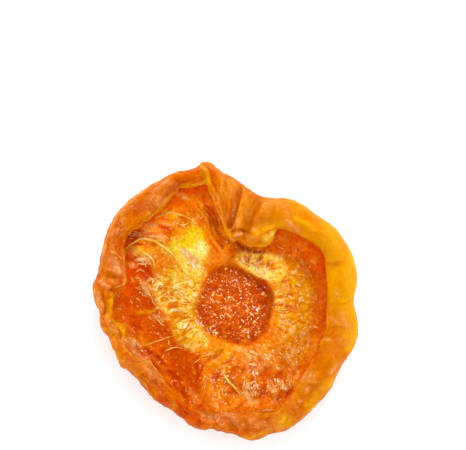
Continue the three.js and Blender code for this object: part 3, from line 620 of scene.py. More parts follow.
skinStrokes = (
    ("glint", 0.16, 0.8, ((2.2, 10.9), (2.9, 11.1))),
    ("glint", 0.14, 0.8, ((4.6, 11.9), (5.0, 11.5))),
    ("pale", 0.16, 0.8, ((7.7, 11.2), (8.0, 10.4), (7.8, 9.6))),
    ("shadedCrease", 0.16, 0.8, ((5.8, 11.8), (5.9, 10.6), (5.7, 9.6))),
    ("shadedCrease", 0.14, 0.7, ((6.9, 12.0), (7.2, 11.0), (7.1, 10.2))),
    ("sheen", 0.16, 0.9, ((-20.3, 6.8), (-19.6, 9.1), (-19.1, 10.7), (-18.5, 12.4), (-17.5, 14.1),
        (-16.4, 15.5))),
    ("sheen", 0.16, 0.8, ((-16.2, 15.6), (-15.0, 16.7), (-14.4, 17.4), (-13.4, 18.2))),
    ("sheen", 0.5, 0.9, ((-11.4, 18.5), (-10.6, 19.0), (-9.8, 19.4))),
    ("glint", 0.16, 0.8, ((-9.9, 19.2), (-9.3, 19.7))),
    ("sheen", 0.7, 0.6, ((-12.1, 16.5), (-11.2, 16.0), (-10.6, 15.8))),
    ("sheen", 0.14, 0.9, ((-12.4, 17.9), (-11.4, 18.8), (-10.7, 19.4), (-9.4, 20.4))),
    ("sheen", 0.12, 0.7, ((-12.9, 17.1), (-11.9, 18.0), (-11.1, 18.5))),
    ("yellow", 0.25, 0.9, ((-12.5, 14.7), (-12.5, 14.3))),
    ("yellow", 0.2, 0.8, ((-18.8, 9.4), (-18.5, 8.8), (-18.2, 7.9))),
    ("sheen", 0.55, 0.8, ((-18.7, 10.7), (-18.1, 11.3), (-17.6, 11.6))),
    ("sheen", 0.8, 0.8, ((-18.3, 6.3), (-17.6, 5.6), (-17.1, 4.6))),
    ("sheen", 0.14, 0.9, ((-18.3, 6.8), (-17.9, 5.9), (-17.3, 5.1), (-17.0, 4.4))),
    ("sheen", 0.6, 0.9, ((-20.1, 3.1), (-19.6, 2.6), (-19.1, 2.0))),
    ("sheen", 0.45, 0.8, ((-20.9, 1.5), (-20.5, 0.7), (-20.3, -0.3))),
    ("sheen", 0.3, 0.8, ((-20.0, -0.7), (-19.7, -1.6), (-19.4, -2.5))),
    ("sheen", 0.6, 0.7, ((-19.0, -3.5), (-18.4, -4.2), (-17.7, -5.0))),
    ("sheen", 0.6, 0.7, ((-15.9, -7.4), (-15.3, -8.1), (-14.6, -8.6))),
    ("sheen", 0.6, 0.7, ((-12.7, -10.7), (-12.0, -11.5), (-11.3, -12.2))),
    ("sheen", 0.3, 0.8, ((10.3, 14.3), (10.5, 14.1))),
    ("sheen", 0.35, 0.9, ((10.6, 12.6), (10.9, 12.3))),
    ("sheen", 0.4, 0.9, ((11.6, 11.8), (12.0, 11.4))),
    ("sheen", 0.3, 0.7, ((19.1, 10.6), (19.4, 10.3))),
    ("sheen", 0.3, 0.8, ((19.2, 9.0), (19.4, 8.5))),
    ("sheen", 0.7, 0.5, ((13.4, 15.2), (14.7, 14.6), (15.7, 13.8))),
    ("sheen", 0.5, 0.6, ((18.2, 1.5), (18.7, 0.7))),
    ("sheen", 0.45, 0.7, ((17.4, -2.9), (18.0, -3.5))),
    ("sheen", 0.6, 0.6, ((16.6, -6.1), (17.4, -6.6))),
    ("shadedCrease", 0.2, 0.6, ((20.0, 6.9), (18.9, 6.1), (17.6, 5.4))),
    ("shadedCrease", 0.16, 0.5, ((20.8, 0.0), (19.7, -0.5), (18.4, -0.6))),
    ("shadedCrease", 0.16, 0.4, ((19.6, -4.5), (18.5, -4.2), (17.5, -4.4))),
    ("yellow", 0.9, 0.7, ((17.9, 9.8), (18.3, 8.7))),
    ("yellow", 1.0, 0.7, ((20.2, 6.1), (20.5, 4.1), (20.3, 2.0))),
    ("yellow", 0.5, 0.8, ((11.7, 13.3), (13.2, 12.6), (14.5, 11.8))),
    ("yellow", 0.22, 1.0, ((-3.0, 18.8), (-2.5, 17.8), (-2.0, 16.5), (-1.4, 15.1), (-0.7, 13.7),
      (-0.1, 12.2), (0.5, 11.1))),
    ("yellow", 0.22, 0.9, ((2.8, 16.5), (2.4, 14.8), (1.9, 13.7), (1.5, 12.7), (1.1, 11.7))),
    ("yellow", 0.4, 1.0, ((0.7, 11.6), (0.9, 10.4))),
    ("yellow", 0.6, 0.8, ((-3.0, 21.2), (-2.7, 19.4))),
    ("pale", 0.3, 0.8, ((-3.7, 22.1), (-3.3, 21.6))),
    ("sheen", 0.28, 1.0, ((1.6, 16.1), (1.7, 15.5), (1.5, 14.7), (1.3, 14.0))),
    ("sheen", 0.5, 0.7, ((2.3, 13.4), (2.2, 12.2))),
    ("sheen", 0.6, 0.5, ((2.7, 19.6), (3.2, 18.6))),
    ("sheen", 0.4, 0.5, ((0.8, 18.8), (1.1, 17.8))),
    ("sheen", 0.4, 0.5, ((-0.4, 13.4), (0.3, 12.5))),
    ("sheen", 1.0, 0.6, ((6.8, 15.8), (8.3, 16.3), (9.8, 15.5))),
    ("sheen", 0.7, 0.5, ((5.4, 13.3), (5.9, 12.4))),
    ("sheen", 0.6, 0.6, ((10.3, 12.9), (10.8, 12.2))),
    ("sheen", 0.35, 0.7, ((4.2, 11.9), (5.2, 11.6))),
    ("sheen", 0.35, 0.6, ((4.3, 10.4), (4.9, 10.2))),
    ("glint", 0.25, 0.7, ((1.9, 10.6), (2.4, 10.8))),
    ("sheen", 0.25, 0.8, ((1.1, 10.2), (1.5, 10.0))),
    ("yellow", 0.35, 0.9, ((6.5, 11.6), (7.2, 11.9), (7.8, 12.1))),
    ("yellow", 0.6, 0.9, ((5.4, 11.1), (6.2, 10.5), (7.2, 9.8))),
    ("pale", 0.35, 0.7, ((6.7, 10.0), (7.4, 10.5), (7.9, 11.0))),
    ("yellow", 0.22, 1.0, ((8.6, 11.3), (8.2, 10.5), (7.6, 9.7), (6.9, 9.2), (5.4, 9.0))),
    ("shadedCrease", 0.28, 1.0, ((2.7, 18.8), (2.6, 17.5), (2.3, 16.0), (2.0, 14.8), (1.7, 13.9),
      (1.2, 12.9), (0.9, 12.1))),
    ("shadedCrease", 0.18, 0.7, ((1.0, 16.7), (1.1, 15.3), (1.0, 14.0), (0.8, 12.9), (0.8, 12.2))),
    ("shadedCrease", 0.4, 0.6, ((6.2, 16.7), (5.5, 15.7), (4.9, 14.7), (4.5, 13.7), (4.1, 12.5), (3.9, 11.2))),
    ("shadow", 0.2, 0.7, ((1.3, 11.3), (1.9, 11.6), (2.7, 11.7), (3.4, 11.4))),
    ("shadedCrease", 0.2, 0.7, ((3.2, 11.5), (3.3, 10.1))),
    ("shadedCrease", 0.2, 0.5, ((5.7, 10.5), (6.7, 11.0), (7.7, 11.5), (8.5, 11.9))),
    ("yellow", 0.5, 0.9, ((-18.3, 0.7), (-18.6, -0.4), (-18.8, -1.6), (-18.9, -2.5))),
    ("yellow", 0.22, 1.0, ((-18.4, -3.3), (-17.5, -4.0), (-16.8, -4.8), (-16.5, -5.8), (-16.7, -6.7),
      (-16.2, -7.8))),
    ("peach", 0.22, 0.9, ((-16.4, 7.3), (-16.3, 5.4), (-16.3, 3.5), (-16.5, 2.6), (-17.7, 2.1))),
    ("peach", 0.5, 0.8, ((-21.2, 2.0), (-20.8, 0.7), (-20.4, -0.4), (-20.1, -1.6))),
    ("peach", 0.3, 0.8, ((-19.7, 9.2), (-20.3, 6.3), (-20.6, 4.6))),
    ("shadedCrease", 0.18, 0.8, ((-20.2, 2.0), (-19.8, 0.7), (-19.5, -0.8), (-19.6, -2.1))),
    ("ember", 0.4, 0.9, ((-21.3, 2.7), (-21.1, 2.6))),
    ("sheen", 0.7, 0.6, ((-18.4, 6.4), (-17.8, 5.1))),
    ("sheen", 0.5, 0.6, ((-18.5, 3.3), (-17.7, 2.7))),
    ("sheen", 0.4, 0.5, ((-19.8, 2.5), (-19.4, 2.3))),
    ("sheen", 0.3, 0.5, ((-18.6, 11.2), (-18.4, 9.4))),
    ("shadedCrease", 0.22, 0.6, ((-20.5, 2.4), (-19.2, 1.7), (-18.2, 1.5))),
    ("yellow", 0.8, 0.5, ((-19.4, -4.8), (-18.2, -5.3))),
    ("yellow", 0.6, 0.5, ((-18.5, -6.9), (-17.6, -8.3), (-16.9, -9.9))),
    ("sheen", 0.4, 0.7, ((-9.6, 19.9), (-9.1, 19.2))),
    ("sheen", 0.3, 0.7, ((-10.6, 19.3), (-11.0, 18.4))),
    ("sheen", 1.0, 0.6, ((-11.6, 17.1), (-10.2, 16.6))),
    ("sheen", 0.5, 0.6, ((-15.2, 17.1), (-14.5, 16.4))),
    ("sheen", 0.45, 0.5, ((-16.6, 15.2), (-16.2, 14.5))),
    ("shadedCrease", 0.18, 0.6, ((-12.5, 17.6), (-11.1, 18.9), (-9.4, 20.2))),
    ("shadedCrease", 0.16, 0.5, ((-12.1, 18.3), (-10.4, 19.6))),
    ("yellow", 0.35, 0.7, ((-3.3, 19.4), (-4.5, 18.8), (-6.8, 18.7))),
    ("yellow", 0.3, 0.6, ((-8.0, 17.7), (-9.3, 16.6), (-11.1, 14.7), (-13.4, 12.7))),
    ("peach", 0.25, 0.9, ((-16.0, -8.2), (-14.8, -9.2), (-13.5, -10.0), (-12.2, -10.2),
      (-11.2, -11.0), (-10.6, -12.3), (-9.6, -13.7))),
    ("pale", 0.16, 0.9, ((-13.2, -13.1), (-12.6, -14.1))),
    ("shadedCrease", 0.17, 0.9, ((-13.7, -12.5), (-12.7, -13.6), (-12.0, -14.6), (-11.1, -15.6))),
    ("shadedCrease", 0.15, 0.7, ((-12.8, -12.3), (-11.8, -13.6), (-10.7, -14.9))),
    ("shadedCrease", 0.15, 0.6, ((-12.0, -12.5), (-11.1, -13.8), (-10.0, -14.9))),
    ("sheen", 0.8, 0.6, ((-12.6, -11.3), (-11.7, -12.1))),
    ("yellow", 0.3, 0.6, ((-11.7, -14.8), (-11.2, -15.4))),
    ("yellow", 0.5, 0.5, ((-8.6, -16.6), (-8.1, -17.5))),
    ("sheen", 0.8, 0.7, ((-3.3, -18.4), (-2.2, -18.9))),
    ("sheen", 0.9, 0.8, ((-1.5, -19.2), (-0.4, -19.9))),
    ("sheen", 0.9, 0.9, ((0.8, -18.1), (1.5, -19.0))),
    ("sheen", 0.6, 0.7, ((1.6, -20.2), (2.7, -20.9))),
    ("sheen", 1.0, 0.6, ((4.2, -19.2), (5.4, -20.2))),
    ("sheen", 0.8, 0.5, ((6.2, -20.3), (7.1, -20.9))),
    ("sheen", 0.7, 0.6, ((8.5, -19.9), (9.3, -20.3))),
    ("shadedCrease", 0.2, 0.8, ((0.6, -19.2), (1.2, -20.2), (2.2, -21.2))),
    ("shadedCrease", 0.2, 0.7, ((3.6, -18.2), (3.5, -19.5), (4.1, -21.1))),
    ("shadedCrease", 0.2, 0.6, ((-1.9, -18.9), (-1.2, -20.2), (-1.0, -21.0))),
    ("shadedCrease", 0.18, 0.6, ((5.5, -19.5), (6.5, -20.8))),
    ("yellow", 0.8, 0.8, ((9.3, -20.0), (10.6, -19.5))),
    ("yellow", 0.5, 0.5, ((3.6, -22.3), (5.5, -22.2), (7.3, -21.5))),
    ("yellow", 0.3, 0.8, ((-3.5, -17.9), (-1.9, -18.2))),
    ("yellow", 0.35, 0.8, ((3.7, -18.0), (5.2, -18.3), (6.5, -18.4), (8.2, -17.9), (9.5, -17.0))),
    ("yellow", 1.4, 0.5, ((20.6, 6.9), (21.1, 2.7), (20.7, 0.1))),
    ("yellow", 1.0, 0.8, ((21.1, -1.9), (21.5, -3.8), (21.2, -6.1), (20.6, -7.8))),
    ("yellow", 1.0, 0.5, ((16.5, 12.1), (17.9, 10.1), (18.6, 8.2))),
    ("sheen", 0.8, 0.7, ((19.3, -3.4), (20.3, -4.3))),
    ("sheen", 0.6, 0.5, ((18.7, -6.3), (19.8, -6.8))),
    ("sheen", 0.5, 0.5, ((19.0, -1.9), (19.5, -2.6))),
    ("sheen", 0.45, 0.8, ((17.4, -11.9), (18.3, -10.6))),
    ("sheen", 0.8, 0.8, ((13.4, -12.7), (14.1, -12.2))),
    ("sheen", 0.5, 0.7, ((13.3, -14.7), (13.7, -14.2))),
    ("yellow", 0.8, 0.8, ((17.0, -13.5), (15.3, -15.2), (13.8, -17.0))),
    ("sheen", 0.4, 0.6, ((12.2, -16.5), (12.9, -16.1))),
    ("shadedCrease", 0.18, 0.5, ((16.3, 6.2), (17.3, 5.9), (18.6, 6.2))),
    ("shadedCrease", 0.18, 0.5, ((15.9, -6.0), (17.1, -5.8), (17.7, -5.2))),
)


# places, slants, lengths and widths of short streaks strewn along bands
def strewn(bands, seed):
    draw = random.Random(seed)
    for count, start, end, half, slant, spread, lengths, width in bands:
        across = math.atan2(end[1] - start[1], end[0] - start[0]) + math.pi / 2
        for _ in range(count):
            along, away = draw.random(), draw.gauss(0.0, 0.5) * half
            x = mix(start[0], end[0], along) + away * math.cos(across)
            y = mix(start[1], end[1], along) + away * math.sin(across)
            dx, dy = fromDent(x, y)
            towards = math.atan2(dy, dx) if slant is None else math.radians(slant)
            lean = towards + math.radians(draw.gauss(0.0, spread / 2))
            yield x, y, lean, draw.uniform(*lengths), width * draw.uniform(0.6, 1.4), draw.uniform(0.5, 1.0)


# painted shade along each strewn wrinkle
def shadedWrinkleStrokes():
    for x, y, lean, length, width, strength in strewn(shadedWrinkleStreaks, 11):
        dx, dy = length / 2 * math.cos(lean), length / 2 * math.sin(lean)
        yield "deep", width, 0.8 * strength, ((x - dx, y - dy), (x + dx, y + dy))


# lays strokes over the colour, the wetness, which also sets the glints painted there, and the height of a
# surface
def paintStrokes(x, y, tint, wetAndPaintedGlints, height, strokes):
    for kind, width, strength, route in strokes:
        colour, lift, wetAndGlintLevel = strokeKinds[kind]
        near = np.ones(x.shape, bool)
        for axis, places in enumerate((x, y)):
            ends = [place[axis] for place in route]
            near &= (places > min(ends) - 3 * width) & (places < max(ends) + 3 * width)
        share = strength * bell(routeDistance(x[near], y[near], route), width)
        tint[near] = mix(tint[near], tone(colour), share[..., None] * strokeCover)
        wetAndPaintedGlints[near] = np.maximum(wetAndPaintedGlints[near], share * wetAndGlintLevel)
        height[near] += share * width * lift


# fine strands that run outwards from the dent, from -1 between them to 1 on their crests
def fibreField(x, y):
    dx, dy = fromDent(x, y)
    count, length = fleshTexture["fibre"]
    radius = np.maximum(np.hypot(dx, dy), 0.5)
    turnX, turnY = dx / radius, dy / radius
    coarse = softNoise(turnX * count, turnY * count, radius / length, 21)
    fine = softNoise(turnX * count * 2, turnY * count * 2, radius / length * 2, 22)
    return 1.0 - 2.4 * np.abs(coarse * 0.75 + fine * 0.45)


def grainField(x, y, size, seed):
    return 1.0 - 2.0 * np.minimum(grainDistance(x / size, y / size, seed), 1.0)


def lumpField(x, y, z):
    size = fleshTexture["lumpSize"]
    return layeredNoise(x / size, y / size, z / size, 31)


# jelly-like floor of the dent, with short slanting ridges at its lower left
def dentField(x, y):
    lumpDepth, grainDepth, ridgeDepth = dentTexture["depths"]
    lumpSize, grainSize, ridgeSize = dentTexture["sizes"]
    bentX, bentY = bent(x, y, *dentTexture["bend"], 55)
    lumps = layeredNoise(bentX / lumpSize, bentY / lumpSize, 0, 51, 4)
    grains = grainField(bentX, bentY, grainSize, 57)
    slanted = areaShare(x, y, *dentTexture["ridgeArea"])
    breakX, breakY = dentTexture["ridgeBreaks"]
    ridges = np.cos(2 * math.pi * (y - dentTexture["ridgeSlant"] * x) / ridgeSize)
    ridges = ridges * slanted * (0.5 + softNoise(x / breakX, y / breakY, 0, 58))
    relief = lumpDepth * lumps + grainDepth * grains * (1 - 0.7 * slanted) + 2 * ridgeDepth * ridges
    return relief, relief / (lumpDepth + grainDepth)


# the areas of the flesh laid over each other: its relief, its colour, how wet it is, which also sets the
# glints painted on it, and how pulpy it is
def fleshLayers(x, y, z, bentX, bentY, clear):
    grains = grainField(bentX, bentY, fleshTexture["grainSize"], 41)
    fields = (fibreField(bentX, bentY) * clear, grains * clear, lumpField(x, y, z))
    tint = np.zeros(x.shape + (3,))
    height, wetAndPaintedGlints, pulp = (np.zeros(x.shape) for _ in range(3))
    for outline, blur, hollow, crest, depths, wetAndGlintLevel, pulpShare in fleshAreas.values():
        share = areaShare(bentX, bentY, outline, blur) if outline else np.ones_like(x)
        relief = sum(depth * field for depth, field in zip(depths, fields))
        level = smoothStep(*fleshTexture["crestLevels"], relief / sum(depths))
        tint = mix(tint, mix(tone(hollow), tone(crest), level[..., None]), share[..., None])
        layers = ((height, relief), (wetAndPaintedGlints, wetAndGlintLevel * (0.4 + 0.6 * level)), (pulp, pulpShare))
        height, wetAndPaintedGlints, pulp = (mix(under, over, share) for under, over in layers)
    return height, tint, wetAndPaintedGlints, pulp


# 1 in the dent and 0 outside, between shares of its radius that differ at its left and at its right
def dentCover(x, y, bentX, bentY, ends):
    left, right = ends
    side = smoothStep(*dentTexture["sides"], x)
    limits = (mix(first, second, side) for first, second in zip(left, right))
    return 1.0 - smoothStep(*limits, dentShare(mix(x, bentX, 0.6), mix(y, bentY, 0.6)))


# heights of the flesh's own texture, its colour, how wet it is, which also sets the glints painted on it,
# and how much pale pulp it shows
def fleshSkin(x, y, z):
    bentX, bentY = bent(x, y, *fleshTexture["bend"], 11)
    clear = smoothStep(*fleshTexture["brinkClear"], dentShare(x, y))
    height, tint, wetAndPaintedGlints, pulp = fleshLayers(x, y, z, bentX, bentY, clear)
    relief, level = dentField(x, y)
    inDent = dentCover(x, y, bentX, bentY, dentTexture["colourEnd"])
    hollow, crest = (tone(colour) for colour in dentTexture["colours"])
    level = smoothStep(*dentTexture["crestLevels"], level)
    tint = mix(tint, mix(hollow, crest, level[..., None]), inDent[..., None])
    wetAndPaintedGlints = mix(wetAndPaintedGlints * patchShare(x, y, *fleshTexture["wetPatches"]), 0.0, inDent)
    inner = dentTexture["wetAndGlintLevel"] * dentCover(x, y, bentX, bentY, dentTexture["wetEnd"])
    wetAndPaintedGlints = wetAndPaintedGlints + inner * patchShare(x, y, *dentTexture["wetPatches"])
    height = mix(height, relief, inDent)
    paintStrokes(bentX, bentY, tint, wetAndPaintedGlints, height, fleshStrokes)
    paintStrokes(x, y, tint, wetAndPaintedGlints, height, shadedWrinkleStrokes())
    return height, tint, wetAndPaintedGlints, pulp * clear * mix(0.35, 1.0, patchShare(x, y, *fleshTexture["pulpPatches"]))


rimSkin = {
    "gain": 0.63,
    "amber": (236, 151, 3),
    "rust": (221, 102, 8),
    # how far the skin turns from rust to amber, every 30 degrees from the right, and the rest likewise
    "ripeness": (1.0, 1.0, 0.7, 0.4, 0.2, 0.2, 0.1, 0.1, 0.0, 0.0, 0.4, 0.5),
    "roughness": (0.25, 0.25, 0.35, 0.8, 0.9, 0.9, 1.0, 1.0, 1.1, 1.1, 0.8, 0.5),
    # painted sheen: how many pinkish painted highlights each side of the skin has
    "sheen": (0.2, 0.15, 0.2, 0.5, 0.7, 0.7, 0.5, 0.45, 0.6, 0.75, 0.5, 0.35),
    "bloom": (0.15, 0.15, 0.2, 0.35, 0.5, 0.5, 0.5, 0.4, 0.4, 0.5, 0.3, 0.2),
    "lipYellow": (0.4, 0.4, 0.4, 0.8, 0.9, 0.8, 0.8, 0.9, 0.9, 0.3, 0.6, 0.4),
    # painted shade: how strongly the thin outer edge is darkened
    "paintedEdgeShade": (0.0, 0.0, 0.2, 0.3, 0.3, 0.3, 0.5, 0.9, 0.9, 0.7, 0.4, 0.1),
    "edgeShadeColour": (176, 78, 8),
    "depths": (0.36, 0.2, 0.07),  # of lumps along the rim, of wrinkles across it and of its grain
    "edgeYellow": (247, 176, 18),
    "yellowWidth": 0.07,  # share of the rim's section that the yellow of the lip takes
    "sideRoughness": 0.75,  # the least there is on the outer side, and the same for the bloom
    "sideBloom": 0.45,
    "rolls": (2.2, 7.0),  # radians that the noise turns over the rim's section, and over the underside
    # the noise's turns round the rim and its steps over the section, for lumps and for wrinkles
    "lumpTurns": (9, 1.6),
    "wrinkleTurns": (16, 0.8),
    "sizes": {"grain": 0.8, "broad": 3.0, "patches": 1.7},
    # painted shade for the hollows of the rim's lumps and wrinkles, and painted light for their crests
    "paintedReliefShades": ((0.97, 0.86, 0.6), (1.04, 1.12, 1.3)),  # of hollows and of crests
    "broadShade": (0.02, 0.12, 0.4),
    "bandSteps": (3.2, 6.4),  # millimetres to a step of the section, on the rim and on the underside
}
undersideSkin = {
    "middle": (232, 122, 40),
    "outside": (234, 118, 18),
    "ridge": (248, 164, 6),
    "ridgeAt": (0.66, 0.035),  # share of the radius and width
    "patchShade": (0.02, 0.1, 0.35),
    # share of the radius, width and strength of each
    "lines": ((0.8, 0.012, 0.7), (0.9, 0.014, 0.9), (0.96, 0.01, 0.6)),
}


# colours of the underside and how much pale bloom and how many wrinkles it has
def undersideTint(x, y, ring):
    look = undersideSkin
    middle, outside, ridge = (tone(look[name]) for name in ("middle", "outside", "ridge"))
    ridgeAt, ridgeWidth = look["ridgeAt"]
    wander = 0.02 * layeredNoise(x / 4.0, y / 4.0, 0, 91)
    outer = smoothStep(ridgeAt - 0.04, ridgeAt + 0.04, ring + wander)
    patches = layeredNoise(x / 2.4, y / 2.4, 0, 93)[..., None]
    tint = mix(middle, outside, outer[..., None]) * (1.0 + patches * tone(look["patchShade"]))
    onRidge = upperLeftShare(x, y) * bell(ring + wander - ridgeAt, ridgeWidth)
    bloom, wrinkle = mix(1.0, 0.75, outer) * (1.0 - onRidge), mix(0.15, 1.0, outer) * (1.0 - onRidge)
    for number, (at, width, strength) in enumerate(look["lines"]):
        broken = patchShare(x, y, 6.0, 95 + number, (-0.3, 0.3), 1)
        line = strength * broken * bell(ring + 2 * wander - at, width)
        onRidge = np.maximum(onRidge, line)
        bloom = bloom * (1.0 - line)
    return mix(tint, ridge, onRidge[..., None]), bloom, wrinkle


# angle round the rim by its length, steps over its section and on under the fruit, and the radius of a
# circle as long as the rim
def rimLie(grid, onRim):
    edge, lip, foot, crest = stationValues(grid["place"][0])
    middle = (edge + lip[:, :2]) / 2
    lengths = np.cumsum(np.hypot(*np.diff(middle, axis=0, prepend=middle[-1:]).T))
    angle = np.broadcast_to(lengths / lengths[-1] * 2 * math.pi, onRim.shape)
    rimRoll, lowRoll = rimSkin["rolls"]
    roll = np.where(onRim, grid["share"] * rimRoll, rimRoll + grid["share"] * lowRoll)
    return angle, roll, lengths[-1] / (2 * math.pi)


# noise that follows the rim round
def rimNoise(angle, roll, turns, seed):
    turnsRound, steps = turns
    return layeredNoise(np.cos(angle) * turnsRound, np.sin(angle) * turnsRound, roll * steps, seed)


# heights of the skin's folds and wrinkles, its colour, how much painted sheen and pale bloom it has,
# and the lie and the share of its fine wrinkles
def outerSkin(grid, points):
    x, y, z = (points[..., axis] for axis in range(3))
    share, onRim = grid["share"], grid["zone"] == rimZone
    names = ("ripeness", "roughness", "sheen", "lipYellow", "paintedEdgeShade", "bloom")
    ripe, rough, sheen, lipYellow, paintedEdgeShade, bloom = (sideValue(rimSkin[name], x, y) for name in names)
    grain, broad, patches = (
        layeredNoise(x / size, y / size, z / size, seed)
        for size, seed in zip(rimSkin["sizes"].values(), (67, 73, 71))
    )
    outward = np.where(onRim, smoothStep(0.7, 1.0, share), 1 - smoothStep(0.3, 0.5, share))
    atEdge = np.where(onRim, smoothStep(0.5, 0.85, share), 1 - smoothStep(0.0, 0.25, share))
    below = smoothStep(0.1, 0.4, np.where(onRim, 0.0, share))
    rough = mix(rough, np.maximum(rough, rimSkin["sideRoughness"]), outward)
    angle, roll, radius = rimLie(grid, onRim)
    along = rimNoise(angle, roll, rimSkin["lumpTurns"], 61)
    crossing = 1 - 2 * np.abs(rimNoise(angle, roll, rimSkin["wrinkleTurns"], 64))
    lumpDepth, wrinkleDepth, grainDepth = rimSkin["depths"]
    lumps = along * (lumpDepth * rough + 0.04) * (1 - 0.75 * atEdge)
    wrinkles = wrinkleDepth * (crossing * 0.5 - 0.35 * atEdge) * (1 - below)
    height = lumps + rough * (wrinkles + grainDepth * grain)
    # painted shade in the hollows of the lumps and wrinkles, and painted light on their crests
    shade = smoothStep(-0.6, 0.6, along * 0.6 + crossing * 0.4)[..., None]
    tint = mix(tone(rimSkin["rust"]), tone(rimSkin["amber"]), ripe[..., None])
    tint = tint * mix(1.0, mix(*(tone(colour) for colour in rimSkin["paintedReliefShades"]), shade), rough[..., None])
    tint = tint * (1.0 + broad[..., None] * tone(rimSkin["broadShade"]))
    yellow = np.where(onRim, lipYellow * bell(share, rimSkin["yellowWidth"]), 0.0)
    tint = mix(tint, tone(rimSkin["edgeYellow"]), yellow[..., None])
    # painted shade along the thin outer edge
    dark = paintedEdgeShade * np.where(onRim, smoothStep(0.8, 0.95, share), 1 - smoothStep(0.0, 0.2, share))
    tint = mix(tint, tone(rimSkin["edgeShadeColour"]), dark[..., None])
    # painted sheen: pinkish painted highlights in patches, which the glints of the skin's material take up
    sheen = sheen * smoothStep(-0.3, 0.6, patches) * (1.0 - outward)
    bloom = mix(bloom, np.maximum(bloom, rimSkin["sideBloom"]), outward)
    bloom = bloom * smoothStep(-0.2, 0.3, patches + 0.2 * crossing)
    layers = [layer[onRim] for layer in (tint, sheen, height)]
    paintStrokes(x[onRim], y[onRim], *layers, skinStrokes)
    tint[onRim], sheen[onRim], height[onRim] = layers
    lowTint, lowBloom, lowWrinkle = undersideTint(x, y, np.where(onRim, 1.0, lowRing(share)))
    tint, bloom = mix(tint, lowTint, below[..., None]), mix(bloom, lowBloom, below)
    wrinkle = mix(np.clip(rough, 0.2, 1.0), lowWrinkle, below)
    # the wrinkles' lie: along and across the rim in millimetres, and in rings on the underside
    around = np.stack([radius * np.cos(angle), radius * np.sin(angle)], -1)
    around = mix(around, np.stack([x, y], -1) * 0.5, below[..., None])
    band = np.concatenate([around, (roll * mix(*rimSkin["bandSteps"], below))[..., None]], -1)
    return height, tint, sheen, bloom, band, wrinkle


# one sheet of quads rolled up into a closed body: row 0 and the last row shrink to a point each
def closedBody(form, points):
    rows, columns = points.shape[0], points.shape[1]
    made = bmesh.ops.create_grid(form, x_segments=columns, y_segments=rows - 1, size=1.0)
    spots = []
    for vert in made["verts"]:
        column = round((vert.co.x + 1) / 2 * columns) % columns
        row = round((vert.co.y + 1) / 2 * (rows - 1))
        vert.co = Vector(points[row, column])
        spots.append((vert, row, column))
    return spots


def weldSeams(form):
    bmesh.ops.remove_doubles(form, verts=[v for v in form.verts if v.is_boundary], dist=1e-7)
    bmesh.ops.recalc_face_normals(form, faces=form.faces[:])


def display(red, green, blue, gain=1.0):
    return tuple((value / 255.0) ** 2.2 * gain for value in (red, green, blue)) + (1.0,)


# an object with the form as its mesh, smooth all over
def finished(form, name):
    for face in form.faces:
        face.smooth = True
    mesh = bpy.data.meshes.new(name)
    form.to_mesh(mesh)
    form.free()
    piece = bpy.data.objects.new(name, mesh)
    bpy.context.scene.collection.objects.link(piece)
    print(name + ":", len(mesh.vertices), "vertices,", len(mesh.polygons), "faces")
    return piece


# base colour of each place of the surface, with painted light that makes the hollow before the wall paler
# and painted shade that makes it dimmer under the lip
def surfaceLight(grid, x, y, onFlesh, tint):
    look, share, zone = fleshTexture, grid["share"], grid["zone"]
    fade = mix(1.0, look["hollowOnWall"], smoothStep(*look["hollowEnd"], share))
    hollow = np.where(zone == fleshZone, smoothStep(*look["hollowReach"], share) * fade, 0.0)
    hollow = np.where(zone == wallZone, look["hollowOnWall"], hollow) * sideValue(look["hollowSides"], x, y)
    underLipShade = np.where(zone == wallZone, smoothStep(0.0, 0.4, share), 0.0)
    underLipShade = underLipShade * sideValue(look["wallSides"], x, y)
    gain = look["gain"] * mix(1.0, tone(look["hollowPaintedLight"]), hollow[..., None])
    gain = mix(gain, look["gain"] * tone(look["underLipPaintedShade"]), underLipShade[..., None])
    gain = np.where(onFlesh[..., None], gain, rimSkin["gain"])
    return np.minimum((np.clip(tint, 0, 300) / 255.0) ** 2.2 * gain, 0.98)


# the grid with its relief, and what the materials read at each of its places
def dressedGrid():
    grid = buildGrid()
    points, zone, share = grid["points"], grid["zone"], grid["share"]
    x, y, z = (points[..., axis] for axis in range(3))
    fleshHeight, fleshTint, fleshWetAndGlints, pulp = fleshSkin(x, y, z)
    skinHeight, skinTint, skinPaintedSheen, bloom, band, wrinkle = outerSkin(grid, points)
    onFlesh = zone <= wallZone
    towardsLip = np.where(zone == wallZone, share, 0.0)
    height = np.where(onFlesh, mix(fleshHeight, skinHeight, towardsLip), skinHeight)
    atRest = np.where(zone == lowZone, smoothStep(0.3, 1.5, z), 1.0)
    atPole = smoothStep(0.0, 0.12, np.where(zone == dentZone, share, 1.0))
    moved = points + gridNormals(points) * (height * atRest * atPole)[..., None]
    moved[..., 2] = np.maximum(moved[..., 2], 0.0)
    shares = {
        "wetAndPaintedGlints": np.where(onFlesh, fleshWetAndGlints, skinPaintedSheen),
        "pulp": np.where(onFlesh, pulp, 0.0),
        "bloom": np.where(onFlesh, 0.0, bloom),
        "wrinkle": np.where(onFlesh, 0.0, wrinkle),
    }
    light = surfaceLight(grid, x, y, onFlesh, np.where(onFlesh[..., None], fleshTint, skinTint))
    return moved, zone, light, band, shares


def buildHalf():
    points, zone, light, band, shares = dressedGrid()
    form = bmesh.new()
    tintLayer = form.verts.layers.float_color.new("tint")
    bandLayer = form.verts.layers.float_vector.new("band")
    shareLayers = {name: form.verts.layers.float.new(name) for name in shares}
    zoneLayer = form.verts.layers.int.new("zone")
    for vert, row, column in closedBody(form, points * mm):
        vert[tintLayer] = (*light[row, column], 1.0)
        vert[bandLayer] = band[row, column]
        for name, layer in shareLayers.items():
            vert[layer] = shares[name][row, column]
        vert[zoneLayer] = int(zone[row, column])
    for face in form.faces:
        face.material_index = 0 if max(v[zoneLayer] for v in face.verts) <= wallZone else 1
    weldSeams(form)
    tree = BVHTree.FromBMesh(form)
    return finished(form, "apricotHalf"), tree


